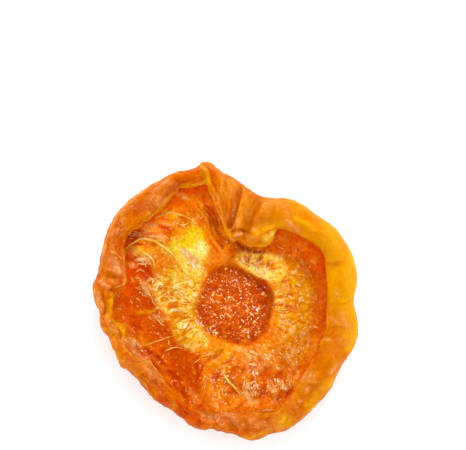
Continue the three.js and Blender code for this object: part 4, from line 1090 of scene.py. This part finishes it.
fleshLook = {
    "subsurface": 0.75,
    "subsurfaceRadius": (1.0, 0.28, 0.06),
    "subsurfaceScale": 0.0024,
    "specular": 0.06,
    "glossTint": display(255, 190, 90),
    "coat": 0.08,
    "coatRoughness": 0.15,
    "mottle": (0.5, 2.2),  # size and strength
    # painted highlights: the glints and the pinkish sparks below are painted into the base colour, denser
    # where wetter
    "glints": (0.42, 0.72, 0.592, 0.035),  # size, thresholds when dry and when wet, softness
    "glintColour": (255, 222, 192),
    "glintLimits": (0.3, 0.7),  # wetness from which the strength goes from the first to the second
    "glintStrengths": (0.45, 0.95),
    "sparks": (0.85, 0.44, 0.65, 0.585),  # length, width, thresholds when dry and when wet
    "sparkColours": ((254, 192, 112), (206, 66, 2)),  # of the bright ones and of the dark ones
    "sparkStrengths": (0.7, 0.3),
    "sparkSlants": (0.6, -0.8),
    "pulp": (13.0, 1.0),  # strands per turn of one radian, length
    "bump": (0.3, 0.07),  # size and depth
}
skinLook = {
    "subsurface": 0.7,
    "subsurfaceRadius": (1.0, 0.35, 0.08),
    "subsurfaceScale": 0.0025,
    "specular": 0.03,
    "glossTint": display(255, 180, 60),
    "coat": 0.0,
    "coatRoughness": 0.3,
    "mottle": (0.35, 1.0),
    # painted sheen: the skin's glints are soft pinkish patches painted into its base colour
    "glints": (0.6, 0.74, 0.5, 0.08),
    "glintColour": (238, 156, 104),
    "glintLimits": (0.0, 1.0),
    "glintStrengths": (0.6, 0.6),
    # size of the bloom's grains, their thresholds, strength and colour
    "bloom": (0.3, (0.4, 0.6), 0.62, (240, 158, 100)),
    "wrinkles": ((0.9, 1.6), (2.2, 1.0)),  # sizes along and across the rim, of those across it and along it
    "wrinkleDepth": 0.12,
    "wrinkleWidth": 0.02,
    "streaks": 1.6,  # how much lighter and darker the bands between the wrinkles are
    "bump": (0.35, 0.06),
}
# how much of a swing each part of a tint takes, red first; that of the folds darkens the fine wrinkles as
# painted shade
shadeParts = {"mottle": (0.35, 0.9, 1.2), "streaks": (0.25, 0.9, 1.6), "folds": (-0.096, -0.272, -0.4)}
pulpLook = {
    "crest": (254, 236, 170),
    "hollow": (226, 122, 8),
    "crestLimits": (0.53, 0.66),
    "hollowLimits": (0.5, 0.36),
}


# small helper round a material's node tree
class Nodes:
    def __init__(self, name):
        self.material = bpy.data.materials.new(name)
        self.material.use_nodes = True
        self.tree = self.material.node_tree
        self.shader = self.tree.nodes["Principled BSDF"]

    def add(self, kind, values=None, **settings):
        node = self.tree.nodes.new(kind)
        for name, value in settings.items():
            setattr(node, name, value)
        for socket, value in (values or {}).items():
            if isinstance(value, bpy.types.NodeSocket):
                self.tree.links.new(value, node.inputs[socket])
            else:
                node.inputs[socket].default_value = value
        return node

    def place(self):
        return self.add("ShaderNodeTexCoord").outputs["Object"]

    def noise(self, scale, detail=3.0, roughness=0.55, distortion=0.0, vector=None):
        values = {"Vector": vector or self.place(), "Scale": scale, "Detail": detail}
        values.update({"Roughness": roughness, "Distortion": distortion})
        return self.add("ShaderNodeTexNoise", values).outputs["Fac"]

    def ranged(self, value, fromLow, fromHigh, toLow=0.0, toHigh=1.0):
        values = {"Value": value, "From Min": fromLow, "From Max": fromHigh}
        values.update({"To Min": toLow, "To Max": toHigh})
        return self.add("ShaderNodeMapRange", values).outputs["Result"]

    def math(self, operation, first, second):
        return self.add("ShaderNodeMath", {0: first, 1: second}, operation=operation).outputs[0]

    def vector(self, operation, first, second=None):
        values = {0: first} if second is None else {0: first, 1: second}
        return self.add("ShaderNodeVectorMath", values, operation=operation).outputs[0]

    # the tint made lighter or darker by a share of each of its three parts
    def shaded(self, tint, share, parts):
        values = {0: share, 1: parts, 2: (1.0, 1.0, 1.0)}
        scale = self.add("ShaderNodeVectorMath", values, operation="MULTIPLY_ADD").outputs[0]
        return self.vector("MULTIPLY", tint, scale)

    def mixed(self, first, second, share):
        node = self.add("ShaderNodeMix", {0: share, 6: first, 7: second}, data_type="RGBA")
        return node.outputs[2]

    def bump(self, height, distance, strength=1.0, normal=None):
        values = {"Height": height, "Distance": distance, "Strength": strength}
        if normal is not None:
            values["Normal"] = normal
        return self.add("ShaderNodeBump", values).outputs["Normal"]

    def attribute(self, name):
        return self.add("ShaderNodeAttribute", attribute_name=name)

    def setShader(self, **values):
        for name, value in values.items():
            socket = self.shader.inputs[name.replace("_", " ")]
            if isinstance(value, bpy.types.NodeSocket):
                self.tree.links.new(value, socket)
            else:
                socket.default_value = value


# radial strands of pale pulp: pale on their crests, deep orange between them
def pulpTint(nodes, tint, look):
    count, length = look["pulp"]
    middleX, middleY = halfForm["dentMiddle"]
    offset = nodes.vector("SUBTRACT", nodes.place(), (middleX * mm, middleY * mm, 0.0))
    flat = nodes.vector("MULTIPLY", offset, (1.0, 1.0, 0.0))
    turn = nodes.vector("MULTIPLY", nodes.vector("NORMALIZE", flat), (count, count, 0.0))
    radius = nodes.add("ShaderNodeVectorMath", {0: flat}, operation="LENGTH").outputs["Value"]
    along = nodes.math("MULTIPLY", radius, 1 / (length * mm))
    out = nodes.add("ShaderNodeCombineXYZ", {"Z": along}).outputs[0]
    strands = nodes.noise(1.0, 2.0, 0.6, 0.9, nodes.vector("ADD", turn, out))
    pulp = nodes.attribute("pulp").outputs["Fac"]
    for limits, colour in ((pulpLook["hollowLimits"], "hollow"), (pulpLook["crestLimits"], "crest")):
        mask = nodes.math("MULTIPLY", nodes.ranged(strands, *limits), pulp)
        tint = nodes.mixed(tint, display(*pulpLook[colour], fleshTexture["gain"]), mask)
    return tint


# painted highlights: small glints or dull sheen painted into the base colour, denser and brighter where the
# surface is wetter
def glintTint(nodes, tint, look):
    size, dry, wettest, softness = look["glints"]
    wetAndPaintedGlints = nodes.attribute("wetAndPaintedGlints").outputs["Fac"]
    low = nodes.ranged(wetAndPaintedGlints, 0.0, 1.0, dry, wettest)
    spots = nodes.noise(1 / (size * mm), 2.0, 0.6, 0.3)
    strength = nodes.ranged(wetAndPaintedGlints, *look["glintLimits"], *look["glintStrengths"])
    mask = nodes.ranged(spots, low, nodes.math("ADD", low, softness), 0.0, strength)
    return nodes.mixed(tint, display(*look["glintColour"]), mask)


# short strokes of two slants in patches, pinkish painted glints where the noise is high, more of them where
# wetter, and deep red marks where it is low
def sparkTint(nodes, tint, look):
    length, width, dry, wettest = look["sparks"]
    fields = []
    for slant in look["sparkSlants"]:
        values = {"Vector": nodes.place(), "Angle": slant}
        turned = nodes.add("ShaderNodeVectorRotate", values, rotation_type="Z_AXIS").outputs[0]
        sizes = (1 / (length * mm), 1 / (width * mm), 1 / (width * mm))
        fields.append(nodes.noise(1.0, 2.0, 0.5, 0.6, nodes.vector("MULTIPLY", turned, sizes)))
    patches = nodes.ranged(nodes.noise(330.0, 1.0), 0.45, 0.55)
    strokes = nodes.add("ShaderNodeMix", {0: patches, 2: fields[0], 3: fields[1]}).outputs[0]
    low = nodes.ranged(nodes.attribute("wetAndPaintedGlints").outputs["Fac"], 0.0, 1.0, dry, wettest)
    bright = nodes.ranged(strokes, low, nodes.math("ADD", low, 0.05), 0.0, look["sparkStrengths"][0])
    dark = nodes.ranged(strokes, 0.4, 0.32, 0.0, look["sparkStrengths"][1])
    tint = nodes.mixed(tint, display(*look["sparkColours"][1], fleshTexture["gain"]), dark)
    return nodes.mixed(tint, display(*look["sparkColours"][0]), bright)


# pale matte grains of the skin
def bloomTint(nodes, tint, look):
    size, limits, strength, colour = look["bloom"]
    grains = nodes.ranged(nodes.noise(1 / (size * mm), 4.0, 0.7), *limits, 0.0, strength)
    mask = nodes.math("MULTIPLY", grains, nodes.attribute("bloom").outputs["Fac"])
    return nodes.mixed(tint, display(*colour, rimSkin["gain"]), mask)


# fine wrinkles across the rim and along it, as a share that is 1 in their folds, and the bands between them
def wrinkleShares(nodes, look):
    band = nodes.attribute("band").outputs["Vector"]
    shares, swings = [], []
    for number, (along, across) in enumerate(look["wrinkles"]):
        stretched = nodes.vector("MULTIPLY", band, (1 / along, 1 / along, 1 / across))
        shifted = nodes.vector("ADD", stretched, (7.0 * number, 3.0, 0.0))
        swings.append(nodes.math("SUBTRACT", nodes.noise(1.0, 3.0, 0.6, 1.4, shifted), 0.5))
        size = nodes.math("ABSOLUTE", swings[-1], 0.0)
        shares.append(nodes.ranged(size, 0.0, look["wrinkleWidth"], 1.0, 0.0))
    weight = nodes.attribute("wrinkle").outputs["Fac"]
    folds = nodes.math("MULTIPLY", nodes.math("MAXIMUM", *shares), weight)
    strength = nodes.math("MULTIPLY", weight, look["streaks"])
    streaks = nodes.math("MULTIPLY", nodes.math("ADD", *swings), strength)
    return folds, streaks


def fruitMaterial(name, look):
    nodes = Nodes(name)
    tint = nodes.attribute("tint").outputs["Color"]
    size, strength = look["mottle"]
    grain = nodes.noise(1 / (size * mm), 5.0, 0.65)
    swing = nodes.math("MULTIPLY", nodes.math("SUBTRACT", grain, 0.5), strength)
    tint = nodes.shaded(tint, swing, shadeParts["mottle"])
    if "pulp" in look:
        tint = sparkTint(nodes, pulpTint(nodes, tint, look), look)
    if "bloom" in look:
        tint = bloomTint(nodes, tint, look)
    # painted highlights: glints, or dull sheen on the skin, laid into the base colour
    tint = glintTint(nodes, tint, look)
    bumpSize, bumpDepth = look["bump"]
    fine = nodes.noise(1 / (bumpSize * mm), 3.0)
    normal = nodes.bump(grain, bumpDepth * mm, 0.7)
    normal = nodes.bump(fine, bumpDepth * mm, 0.5, normal)
    if "wrinkles" in look:
        folds, streaks = wrinkleShares(nodes, look)
        tint = nodes.shaded(tint, streaks, shadeParts["streaks"])
        # painted shade in the folds of the fine wrinkles, over their bump
        tint = nodes.shaded(tint, folds, shadeParts["folds"])
        normal = nodes.bump(nodes.math("SUBTRACT", 1.0, folds), look["wrinkleDepth"] * mm, 0.8, normal)
    nodes.setShader(
        Base_Color=tint,
        Roughness=nodes.ranged(grain, 0.35, 0.65, 0.38, 0.6),
        Subsurface_Weight=look["subsurface"],
        Subsurface_Radius=look["subsurfaceRadius"],
        Subsurface_Scale=look["subsurfaceScale"],
        Specular_IOR_Level=look["specular"],
        Specular_Tint=look["glossTint"],
        Coat_Weight=nodes.math("MULTIPLY", nodes.attribute("wetAndPaintedGlints").outputs["Fac"], look["coat"]),
        Coat_Roughness=look["coatRoughness"],
        Normal=normal,
        Coat_Normal=normal,
    )
    return nodes.material


half, halfTree = buildHalf()
half.data.materials.append(fruitMaterial("moistFlesh", fleshLook))
half.data.materials.append(fruitMaterial("driedSkin", skinLook))
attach(half, "root")
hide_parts("apricot_half")

# Strands that lie along routes on the flesh: pale threads, and flat pinkish streaks that are painted
# highlights standing in for glints.
strandKinds = {
    "veinThreads": {
        "colours": ((255, 204, 104), (246, 150, 44)),
        "gain": 0.85,
        "flatness": 1.0,
        "lift": 0.5,  # share of the radius by which the middle stands above the flesh
        "waver": (0.14, 1.2),  # how far and over what length a strand wanders
        # radius and route of each
        "routes": (
            (0.2, ((-16.8, 8.5), (-16.1, 9.3), (-14.6, 10.1), (-13.9, 10.5), (-12.9, 10.4), (-11.7, 10.1),
                (-10.5, 9.3), (-9.3, 8.5), (-8.2, 7.2), (-7.4, 6.7))),
            (0.17, ((-15.0, 9.2), (-13.6, 8.2), (-12.4, 7.4), (-11.7, 6.3), (-11.8, 5.5))),
            (0.16, ((-11.7, 13.9), (-10.3, 14.6), (-9.0, 15.0), (-7.8, 14.5), (-6.6, 14.3), (-5.4, 13.7),
                (-5.1, 13.0))),
            (0.13, ((-8.1, 14.3), (-7.8, 12.8), (-6.8, 12.6), (-6.1, 13.3))),
            (0.07, ((-13.7, -7.4), (-11.5, -6.7), (-9.5, -6.0), (-8.0, -5.5))),
            (0.08, ((-9.3, -6.4), (-9.3, -7.4))),
            (0.09, ((-10.3, -8.6), (-9.2, -8.0), (-8.1, -7.6), (-6.8, -7.9))),
            (0.16, ((-0.6, -11.3), (0.0, -12.2), (0.4, -13.1), (1.3, -14.0), (2.1, -14.9), (2.7, -15.8))),
            (0.1, ((0.4, -12.9), (1.0, -13.6), (1.5, -14.1))),
            (0.08, ((10.8, -12.4), (11.0, -14.4))),
            (0.08, ((-3.9, -9.2), (-2.8, -9.0), (-1.6, -8.7))),
            (0.08, ((-5.3, -10.5), (-4.1, -9.5))),
            (0.1, ((-12.8, 3.1), (-12.4, 3.9), (-11.5, 3.9))),
        ),
    },
    # painted highlights: flat pinkish streaks that stand in for glints
    "glintStreaks": {
        "colours": ((255, 192, 124), (248, 148, 72)),
        "gain": 0.9,
        "flatness": 0.35,
        "lift": 0.0,
        "waver": (0.2, 0.7),
        "routes": (
            (0.14, ((-15.8, 11.5), (-14.6, 11.1), (-13.4, 11.0))), (0.12, ((-13.6, 12.1), (-13.2, 11.6))),
            (0.16, ((-13.2, 11.1), (-12.0, 10.9), (-10.7, 10.7))),
            (0.12, ((-12.5, 10.4), (-11.5, 10.1), (-10.3, 10.3))),
            (0.12, ((-15.9, 9.2), (-15.3, 8.8), (-14.8, 8.3))),
            (0.12, ((-15.8, 8.3), (-15.1, 8.1), (-14.6, 7.6))),
            (0.1, ((-15.1, 8.8), (-14.4, 8.6), (-13.8, 8.6))),
            (0.34, ((-15.2, 6.8), (-14.2, 7.0), (-13.2, 7.1), (-12.6, 6.7))),
            (0.2, ((-14.7, 6.4), (-13.7, 6.5), (-12.9, 6.4))),
            (0.12, ((-16.4, 6.6), (-16.1, 6.1), (-15.8, 5.6))),
            (0.12, ((-15.2, 4.8), (-14.4, 5.3), (-13.4, 4.9))),
            (0.1, ((-15.1, 3.9), (-14.6, 4.1), (-14.1, 3.8))),
            (0.1, ((-14.4, 3.4), (-13.7, 3.3), (-13.5, 2.7))),
            (0.18, ((-13.0, 3.1), (-12.6, 3.9), (-11.9, 3.8), (-11.7, 3.4), (-12.4, 2.8))),
            (0.2, ((-13.8, 2.4), (-13.4, 2.2))),
            (0.09, ((-13.0, 2.4), (-12.7, 1.4), (-11.7, -0.4), (-11.3, -1.3))),
            (0.09, ((-11.9, 1.7), (-11.5, 0.9), (-11.0, 0.2))),
            (0.18, ((-9.9, 0.8), (-9.1, 0.4), (-8.3, -0.0))),
            (0.11, ((-11.9, -2.4), (-11.2, -3.1), (-10.7, -3.9), (-9.8, -4.1))),
            (0.12, ((-14.9, 0.7), (-14.2, 0.1))), (0.1, ((-18.3, -1.1), (-17.3, -1.4))),
            (0.1, ((-18.3, 1.7), (-17.8, 0.7))), (0.1, ((-16.1, 0.4), (-15.4, -0.3))),
            (0.1, ((-15.6, -5.0), (-14.7, -5.5))), (0.12, ((-16.3, -5.8), (-15.7, -6.5), (-15.3, -7.3))),
            (0.12, ((-15.5, -6.1), (-14.8, -7.0))), (0.1, ((-14.7, -6.6), (-14.3, -7.6))),
            (0.1, ((-17.4, -2.5), (-16.4, -3.0))),
            (0.14, ((3.3, -14.6), (3.9, -13.9), (4.8, -13.3), (5.7, -13.7))),
            (0.12, ((3.7, -13.9), (4.3, -14.6), (4.8, -15.7))),
            (0.16, ((3.9, -15.7), (4.3, -16.2), (4.8, -16.6))),
            (0.12, ((4.8, -13.0), (5.2, -13.9), (6.1, -13.9))), (0.12, ((3.2, -15.0), (3.8, -15.8))),
            (0.13, ((7.1, -13.2), (7.6, -14.3))), (0.13, ((7.8, -13.1), (8.3, -14.4))),
            (0.18, ((9.5, -13.2), (10.1, -13.9), (10.2, -14.9))),
            (0.09, ((10.6, -11.7), (10.8, -13.4), (11.1, -14.6))),
            (0.2, ((3.9, -10.4), (4.8, -10.6), (5.3, -10.8))), (0.18, ((8.4, -11.0), (9.4, -11.4))),
            (0.18, ((7.9, -16.8), (8.3, -17.1))), (0.1, ((-3.4, -13.3), (-3.1, -13.9), (-3.4, -14.6))),
            (0.1, ((-1.9, -16.1), (-1.3, -16.3), (-0.6, -16.6))), (0.18, ((1.7, -8.0), (2.3, -8.4))),
            (0.26, ((3.4, -8.7), (4.1, -9.0), (4.8, -9.5))), (0.18, ((7.4, -8.7), (8.3, -9.3))),
            (0.1, ((4.8, -17.0), (5.6, -16.6), (5.5, -16.1))),
            (0.1, ((6.1, -18.1), (7.1, -18.3), (8.1, -17.9))), (0.1, ((8.5, 9.6), (9.3, 9.2), (10.0, 8.6))),
            (0.26, ((4.8, 6.5), (5.4, 6.3), (6.1, 5.9))), (0.3, ((5.3, 4.9), (6.1, 4.7), (6.9, 4.4))),
            (0.18, ((2.6, 7.1), (3.2, 6.5))), (0.3, ((-6.5, 7.7), (-5.8, 7.0), (-4.9, 6.1))),
            (0.2, ((-6.0, 7.8), (-5.3, 7.0))), (0.14, ((11.9, -9.8), (12.2, -10.8))),
            (0.16, ((9.4, -5.0), (9.9, -5.8))), (0.14, ((12.6, 1.7), (13.1, 0.9))),
            (0.14, ((12.9, -5.0), (12.6, -6.0))), (0.2, ((12.1, 3.0), (12.8, 2.5))),
        ),
    },
}
strandForm = {"sides": 8, "step": 0.25}
castHeight = 7.8  # from where the flesh is looked for, under the lips of the rim


# places along a route, a step apart and rounded at its bends
def smoothRoute(route, step):
    corners = np.array(route, float)
    lengths = np.concatenate(([0.0], np.cumsum(np.hypot(*np.diff(corners, axis=0).T))))
    at = np.linspace(0.0, lengths[-1], max(6, round(lengths[-1] / step)))
    places = np.stack([np.interp(at, lengths, corners[:, axis]) for axis in (0, 1)], -1)
    for _ in range(4):
        places[1:-1] = (places[:-2] + 2 * places[1:-1] + places[2:]) / 4
    return places


def castDown(x, y):
    return halfTree.ray_cast(Vector((x * mm, y * mm, castHeight * mm)), Vector((0, 0, -1)))[:2]


def buildStrands(name):
    kind = strandKinds[name]
    form = bmesh.new()
    reach, length = kind["waver"]
    around = np.linspace(0, 2 * math.pi, strandForm["sides"], endpoint=False)
    for radius, route in kind["routes"]:
        places = smoothRoute(route, strandForm["step"])
        x, y = places.T
        x = x + reach * softNoise(x / length, y / length, 0, 81)
        y = y + reach * softNoise(x / length, y / length, 0, 82)
        z = np.array([castDown(a, b)[0].z / mm for a, b in zip(x, y)])
        z[1:-1] = (z[:-2] + 2 * z[1:-1] + z[2:]) / 4
        swell = 1 + 0.2 * softNoise(x * 1.5, y * 1.5, 0, 83)
        taper = np.sin(np.linspace(0, math.pi, len(z))) ** 0.4 * swell
        middle = np.stack([x, y, z + kind["lift"] * radius * taper], -1)
        forward = np.gradient(middle, axis=0)
        side = np.cross(forward, (0, 0, 1))
        side /= np.linalg.norm(side, axis=-1, keepdims=True)
        above = np.cross(side, forward)
        above /= np.linalg.norm(above, axis=-1, keepdims=True)
        rise = kind["flatness"] * np.sin(around)[None, :, None]
        ring = side[:, None] * np.cos(around)[None, :, None] + above[:, None] * rise
        closedBody(form, (middle[:, None] + ring * (radius * taper)[:, None, None]) * mm)
    weldSeams(form)
    return finished(form, name)


# a soft fibre, pale in patches
def fibreMaterial(name, kind, look):
    nodes = Nodes(name + "Look")
    pale, deep = (display(*colour, kind["gain"]) for colour in kind["colours"])
    patches = nodes.ranged(nodes.noise(*look["patches"]), 0.4, 0.6)
    bumpNoise, bumpDepth = look["bump"]
    nodes.setShader(
        Base_Color=nodes.mixed(deep, pale, patches),
        Roughness=nodes.ranged(patches, 0.0, 1.0, *look["roughness"]),
        Subsurface_Weight=look["subsurface"],
        Subsurface_Radius=look["subsurfaceRadius"],
        Subsurface_Scale=look["subsurfaceScale"],
        Specular_IOR_Level=0.15,
        Specular_Tint=look["glossTint"],
        Normal=nodes.bump(nodes.noise(*bumpNoise), bumpDepth, 0.5),
    )
    return nodes.material


strandLook = {
    "patches": (900.0, 4.0),  # scale and detail of the noise
    "roughness": (0.35, 0.55),
    "subsurface": 0.4,
    "subsurfaceRadius": (1.0, 0.4, 0.12),
    "subsurfaceScale": 0.0012,
    "glossTint": display(255, 200, 130),
    "bump": ((4200.0, 3.0), 0.00004),
}
for strandName, strandKind in strandKinds.items():
    strands = buildStrands(strandName)
    strands.data.materials.append(fibreMaterial(strandName, strandKind, strandLook))
    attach(strands, "root")

# Small shreds that lie on the flesh, in bands laid out like those of the strewn dark wrinkles: pinkish ones
# that are painted highlights standing in for glints, pale ones that are partly pulp and partly painted
# glints, and pulpy ones.
steepest = 0.5  # upward part of the surface's normal below which none lies
shredKinds = {
    # painted highlights: pinkish flecks that stand in for glints
    "glintFlecks": {
        "colours": ((255, 186, 118), (246, 134, 54)),
        "gain": 0.92,
        "sink": 0.16,  # how far its middle lies below the flesh, as a share of its width
        "seed": 5,
        "bands": (
            (16, (-16.0, 11.3), (-9.8, 10.7), 0.6, -12, 14, (0.5, 1.5), 0.26),
            (10, (-13.6, 12.9), (-9.0, 12.6), 0.7, -25, 18, (0.4, 1.2), 0.22),
            (6, (-8.4, 13.4), (-6.6, 12.8), 0.5, 10, 30, (0.4, 0.9), 0.2),
            (11, (-16.2, 8.6), (-13.8, 7.4), 0.7, -20, 20, (0.4, 1.1), 0.22),
            (16, (-15.4, 4.0), (-13.0, 0.6), 0.9, -30, 30, (0.3, 0.9), 0.2),
            (20, (-16.4, -6.4), (-12.2, -9.6), 0.8, -35, 25, (0.3, 1.0), 0.22),
            (12, (-12.4, -2.2), (-9.6, -3.8), 0.7, -35, 25, (0.3, 0.9), 0.18),
            (18, (2.8, -14.6), (5.6, -15.4), 1.6, 75, 35, (0.4, 1.2), 0.24),
            (10, (6.6, -13.6), (10.8, -14.2), 1.1, 60, 50, (0.3, 0.8), 0.26),
            (30, (1.2, -7.6), (12.0, -9.8), 1.8, -20, 50, (0.3, 0.9), 0.2),
            (16, (-2.4, -12.0), (1.6, -16.8), 1.8, 70, 30, (0.3, 1.0), 0.18),
            (14, (6.0, -16.4), (11.6, -14.0), 1.2, 40, 30, (0.3, 0.9), 0.2),
            (10, (-7.6, -13.8), (-4.6, -16.6), 1.0, -40, 30, (0.3, 0.8), 0.18),
            (10, (11.6, -5.6), (13.4, -9.0), 0.8, 60, 40, (0.3, 0.8), 0.2),
            (9, (-3.6, -4.7), (-1.0, -4.0), 0.1, 15, 20, (0.25, 0.6), 0.17),
            (5, (-2.3, -5.8), (-0.8, -5.4), 0.1, 15, 20, (0.25, 0.6), 0.17),
            (9, (0.4, -5.2), (4.6, -4.8), 0.3, 10, 40, (0.3, 0.6), 0.24),
            (8, (-5.0, -1.3), (-4.3, -2.6), 0.3, -50, 15, (0.3, 0.7), 0.16),
            (24, (9.6, 6.6), (13.4, -4.6), 1.8, 40, 90, (0.3, 0.8), 0.22),
            (26, (-3.6, 2.4), (-1.0, 4.8), 0.7, 20, 90, (0.2, 0.4), 0.2),
            (20, (-0.4, 3.6), (4.4, 3.2), 0.8, 20, 90, (0.2, 0.45), 0.2),
        ),
    },
    # pale pulp flecks, and pinkish ones that are painted glints
    "paleAndGlintFlecks": {
        "colours": ((255, 212, 168), (252, 180, 116)),
        "gain": 0.92,
        "sink": 0.2,
        "seed": 7,
        "bands": (
            (14, (-7.4, 9.0), (-4.4, 5.2), 0.6, -50, 18, (0.6, 1.6), 0.3),
            (16, (3.0, -13.4), (5.6, -15.8), 1.1, 75, 30, (0.4, 1.1), 0.2),
            (6, (8.4, -13.0), (10.4, -14.6), 0.7, 75, 40, (0.5, 0.9), 0.36),
            (7, (6.6, -14.4), (8.8, -16.0), 0.8, 60, 50, (0.4, 0.8), 0.28),
            (9, (-2.0, -13.0), (1.4, -15.4), 1.2, 70, 40, (0.3, 0.8), 0.18),
            (8, (-15.4, -6.8), (-12.8, -9.2), 0.6, -35, 25, (0.4, 0.9), 0.2),
            (8, (3.4, -8.2), (8.4, -9.6), 0.6, -30, 30, (0.4, 1.0), 0.24),
            (18, (2.6, 6.8), (8.6, 4.6), 0.8, -25, 50, (0.4, 0.9), 0.3),
            (12, (4.2, 4.6), (7.6, 3.6), 0.4, -20, 50, (0.3, 0.8), 0.28),
            (14, (-8.6, 2.8), (-5.2, 0.4), 1.0, -40, 40, (0.4, 1.0), 0.28),
            (12, (-4.9, -3.2), (-3.0, -6.0), 0.7, -50, 40, (0.4, 0.9), 0.26),
        ),
    },
    "pulpShreds": {
        "colours": ((252, 200, 92), (244, 158, 36)),
        "gain": 0.8,
        "sink": 0.2,
        "seed": 6,
        "bands": (
            (60, (9.2, 3.2), (10.2, -4.2), 1.3, None, 16, (0.3, 1.1), 0.15),
            (56, (2.4, 6.4), (9.0, 4.3), 0.9, None, 70, (0.25, 0.7), 0.16),
            (50, (-9.6, 4.6), (-5.4, 3.6), 1.6, None, 60, (0.25, 0.8), 0.16),
            (90, (-7.6, 2.4), (-4.6, -6.2), 2.0, None, 60, (0.25, 0.9), 0.16),
            (30, (9.0, -6.4), (12.6, -8.4), 1.2, None, 60, (0.3, 0.7), 0.16),
        ),
    },
}


def buildShreds(name):
    kind = shredKinds[name]
    mesh = bpy.data.meshes.new(name + "Parts")
    form = bmesh.new()
    for x, y, lean, length, width, strength in strewn(kind["bands"], kind["seed"]):
        place, up = castDown(x, y)
        if place is None or up.z < steepest:
            continue
        forward = Vector((math.cos(lean), math.sin(lean), 0.0))
        forward = (forward - up * forward.dot(up)).normalized()
        turn = Matrix((forward, up.cross(forward), up)).transposed().to_4x4()
        size = Matrix.Diagonal((length / 2 * mm, width / 2 * mm, width / 3 * mm, 1.0))
        where = Matrix.Translation(place - up * width * kind["sink"] * mm) @ turn @ size
        shred = bmesh.new()
        bmesh.ops.create_uvsphere(shred, u_segments=8, v_segments=4, radius=1.0, matrix=where)
        shred.to_mesh(mesh)
        shred.free()
        form.from_mesh(mesh)
    bpy.data.meshes.remove(mesh)
    return finished(form, name)


shredLook = {
    "patches": (1400.0, 3.0),
    "roughness": (0.3, 0.5),
    "subsurface": 0.3,
    "subsurfaceRadius": (1.0, 0.5, 0.2),
    "subsurfaceScale": 0.0008,
    "glossTint": display(255, 200, 140),
    "bump": ((5200.0, 3.0), 0.00003),
}
for shredName, shredKind in shredKinds.items():
    shreds = buildShreds(shredName)
    shreds.data.materials.append(fibreMaterial(shredName, shredKind, shredLook))
    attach(shreds, "root")

studio = {
    "floorSize": 0.8,
    "floorColour": (0.94, 0.94, 0.94, 1.0),
    "pictureWidth": 0.07796,  # metres across the picture at the fruit's height
    "lens": 100.0,
    "sensorWidth": 36.0,
    "elevation": 85.0,
    "aim": (0.00142, 0.0127, 0.007),
    "skyStrengths": (1.7, 1.05),  # towards the horizon and overhead
    "skyHeights": (0.6, 0.95),
    # place, size and power of each lamp
    "lamps": {
        "key": ((0.08, 0.3, 0.38), 0.16, 1.2),
    },
}


def addFloor():
    form = bmesh.new()
    bmesh.ops.create_grid(form, x_segments=1, y_segments=1, size=studio["floorSize"] / 2)
    floor = finished(form, "floor")
    nodes = Nodes("paleFloor")
    nodes.setShader(Base_Color=studio["floorColour"], Roughness=0.6)
    floor.data.materials.append(nodes.material)


def addCamera():
    data = bpy.data.cameras.new("camera")
    data.lens = studio["lens"]
    data.sensor_width = studio["sensorWidth"]
    data.sensor_fit = "HORIZONTAL"
    data.clip_start = 0.01
    camera = bpy.data.objects.new("camera", data)
    distance = studio["pictureWidth"] * data.lens / data.sensor_width
    tilt = math.radians(studio["elevation"])
    aim = Vector(studio["aim"])
    camera.location = aim + Vector((0, -math.cos(tilt), math.sin(tilt))) * distance
    camera.rotation_euler = (math.radians(90) - tilt, 0, 0)
    bpy.context.scene.collection.objects.link(camera)
    bpy.context.scene.camera = camera


def addLight(name, place, size, power):
    data = bpy.data.lights.new(name, "AREA")
    data.shape = "DISK"
    data.size = size
    data.energy = power
    light = bpy.data.objects.new(name, data)
    light.location = place
    light.rotation_euler = (-Vector(place)).to_track_quat("-Z", "Y").to_euler()
    bpy.context.scene.collection.objects.link(light)


# pale all round, and dimmer straight above
def addSky():
    world = bpy.data.worlds.new("studio")
    world.use_nodes = True
    nodes, links = world.node_tree.nodes, world.node_tree.links
    height = nodes.new("ShaderNodeSeparateXYZ")
    links.new(nodes.new("ShaderNodeTexCoord").outputs["Generated"], height.inputs[0])
    strength = nodes.new("ShaderNodeMapRange")
    strength.interpolation_type = "SMOOTHSTEP"
    links.new(height.outputs["Z"], strength.inputs["Value"])
    limits = (*studio["skyHeights"], *studio["skyStrengths"])
    for socket, value in zip(("From Min", "From Max", "To Min", "To Max"), limits):
        strength.inputs[socket].default_value = value
    nodes["Background"].inputs["Color"].default_value = (1, 1, 1, 1)
    links.new(strength.outputs["Result"], nodes["Background"].inputs["Strength"])
    bpy.context.scene.world = world


addFloor()
addCamera()
for name, (place, size, power) in studio["lamps"].items():
    addLight(name, place, size, power)
addSky()
print("studio: camera, sky and", len(studio["lamps"]), "lamp")
bpy.context.scene.view_settings.view_transform = "Standard"
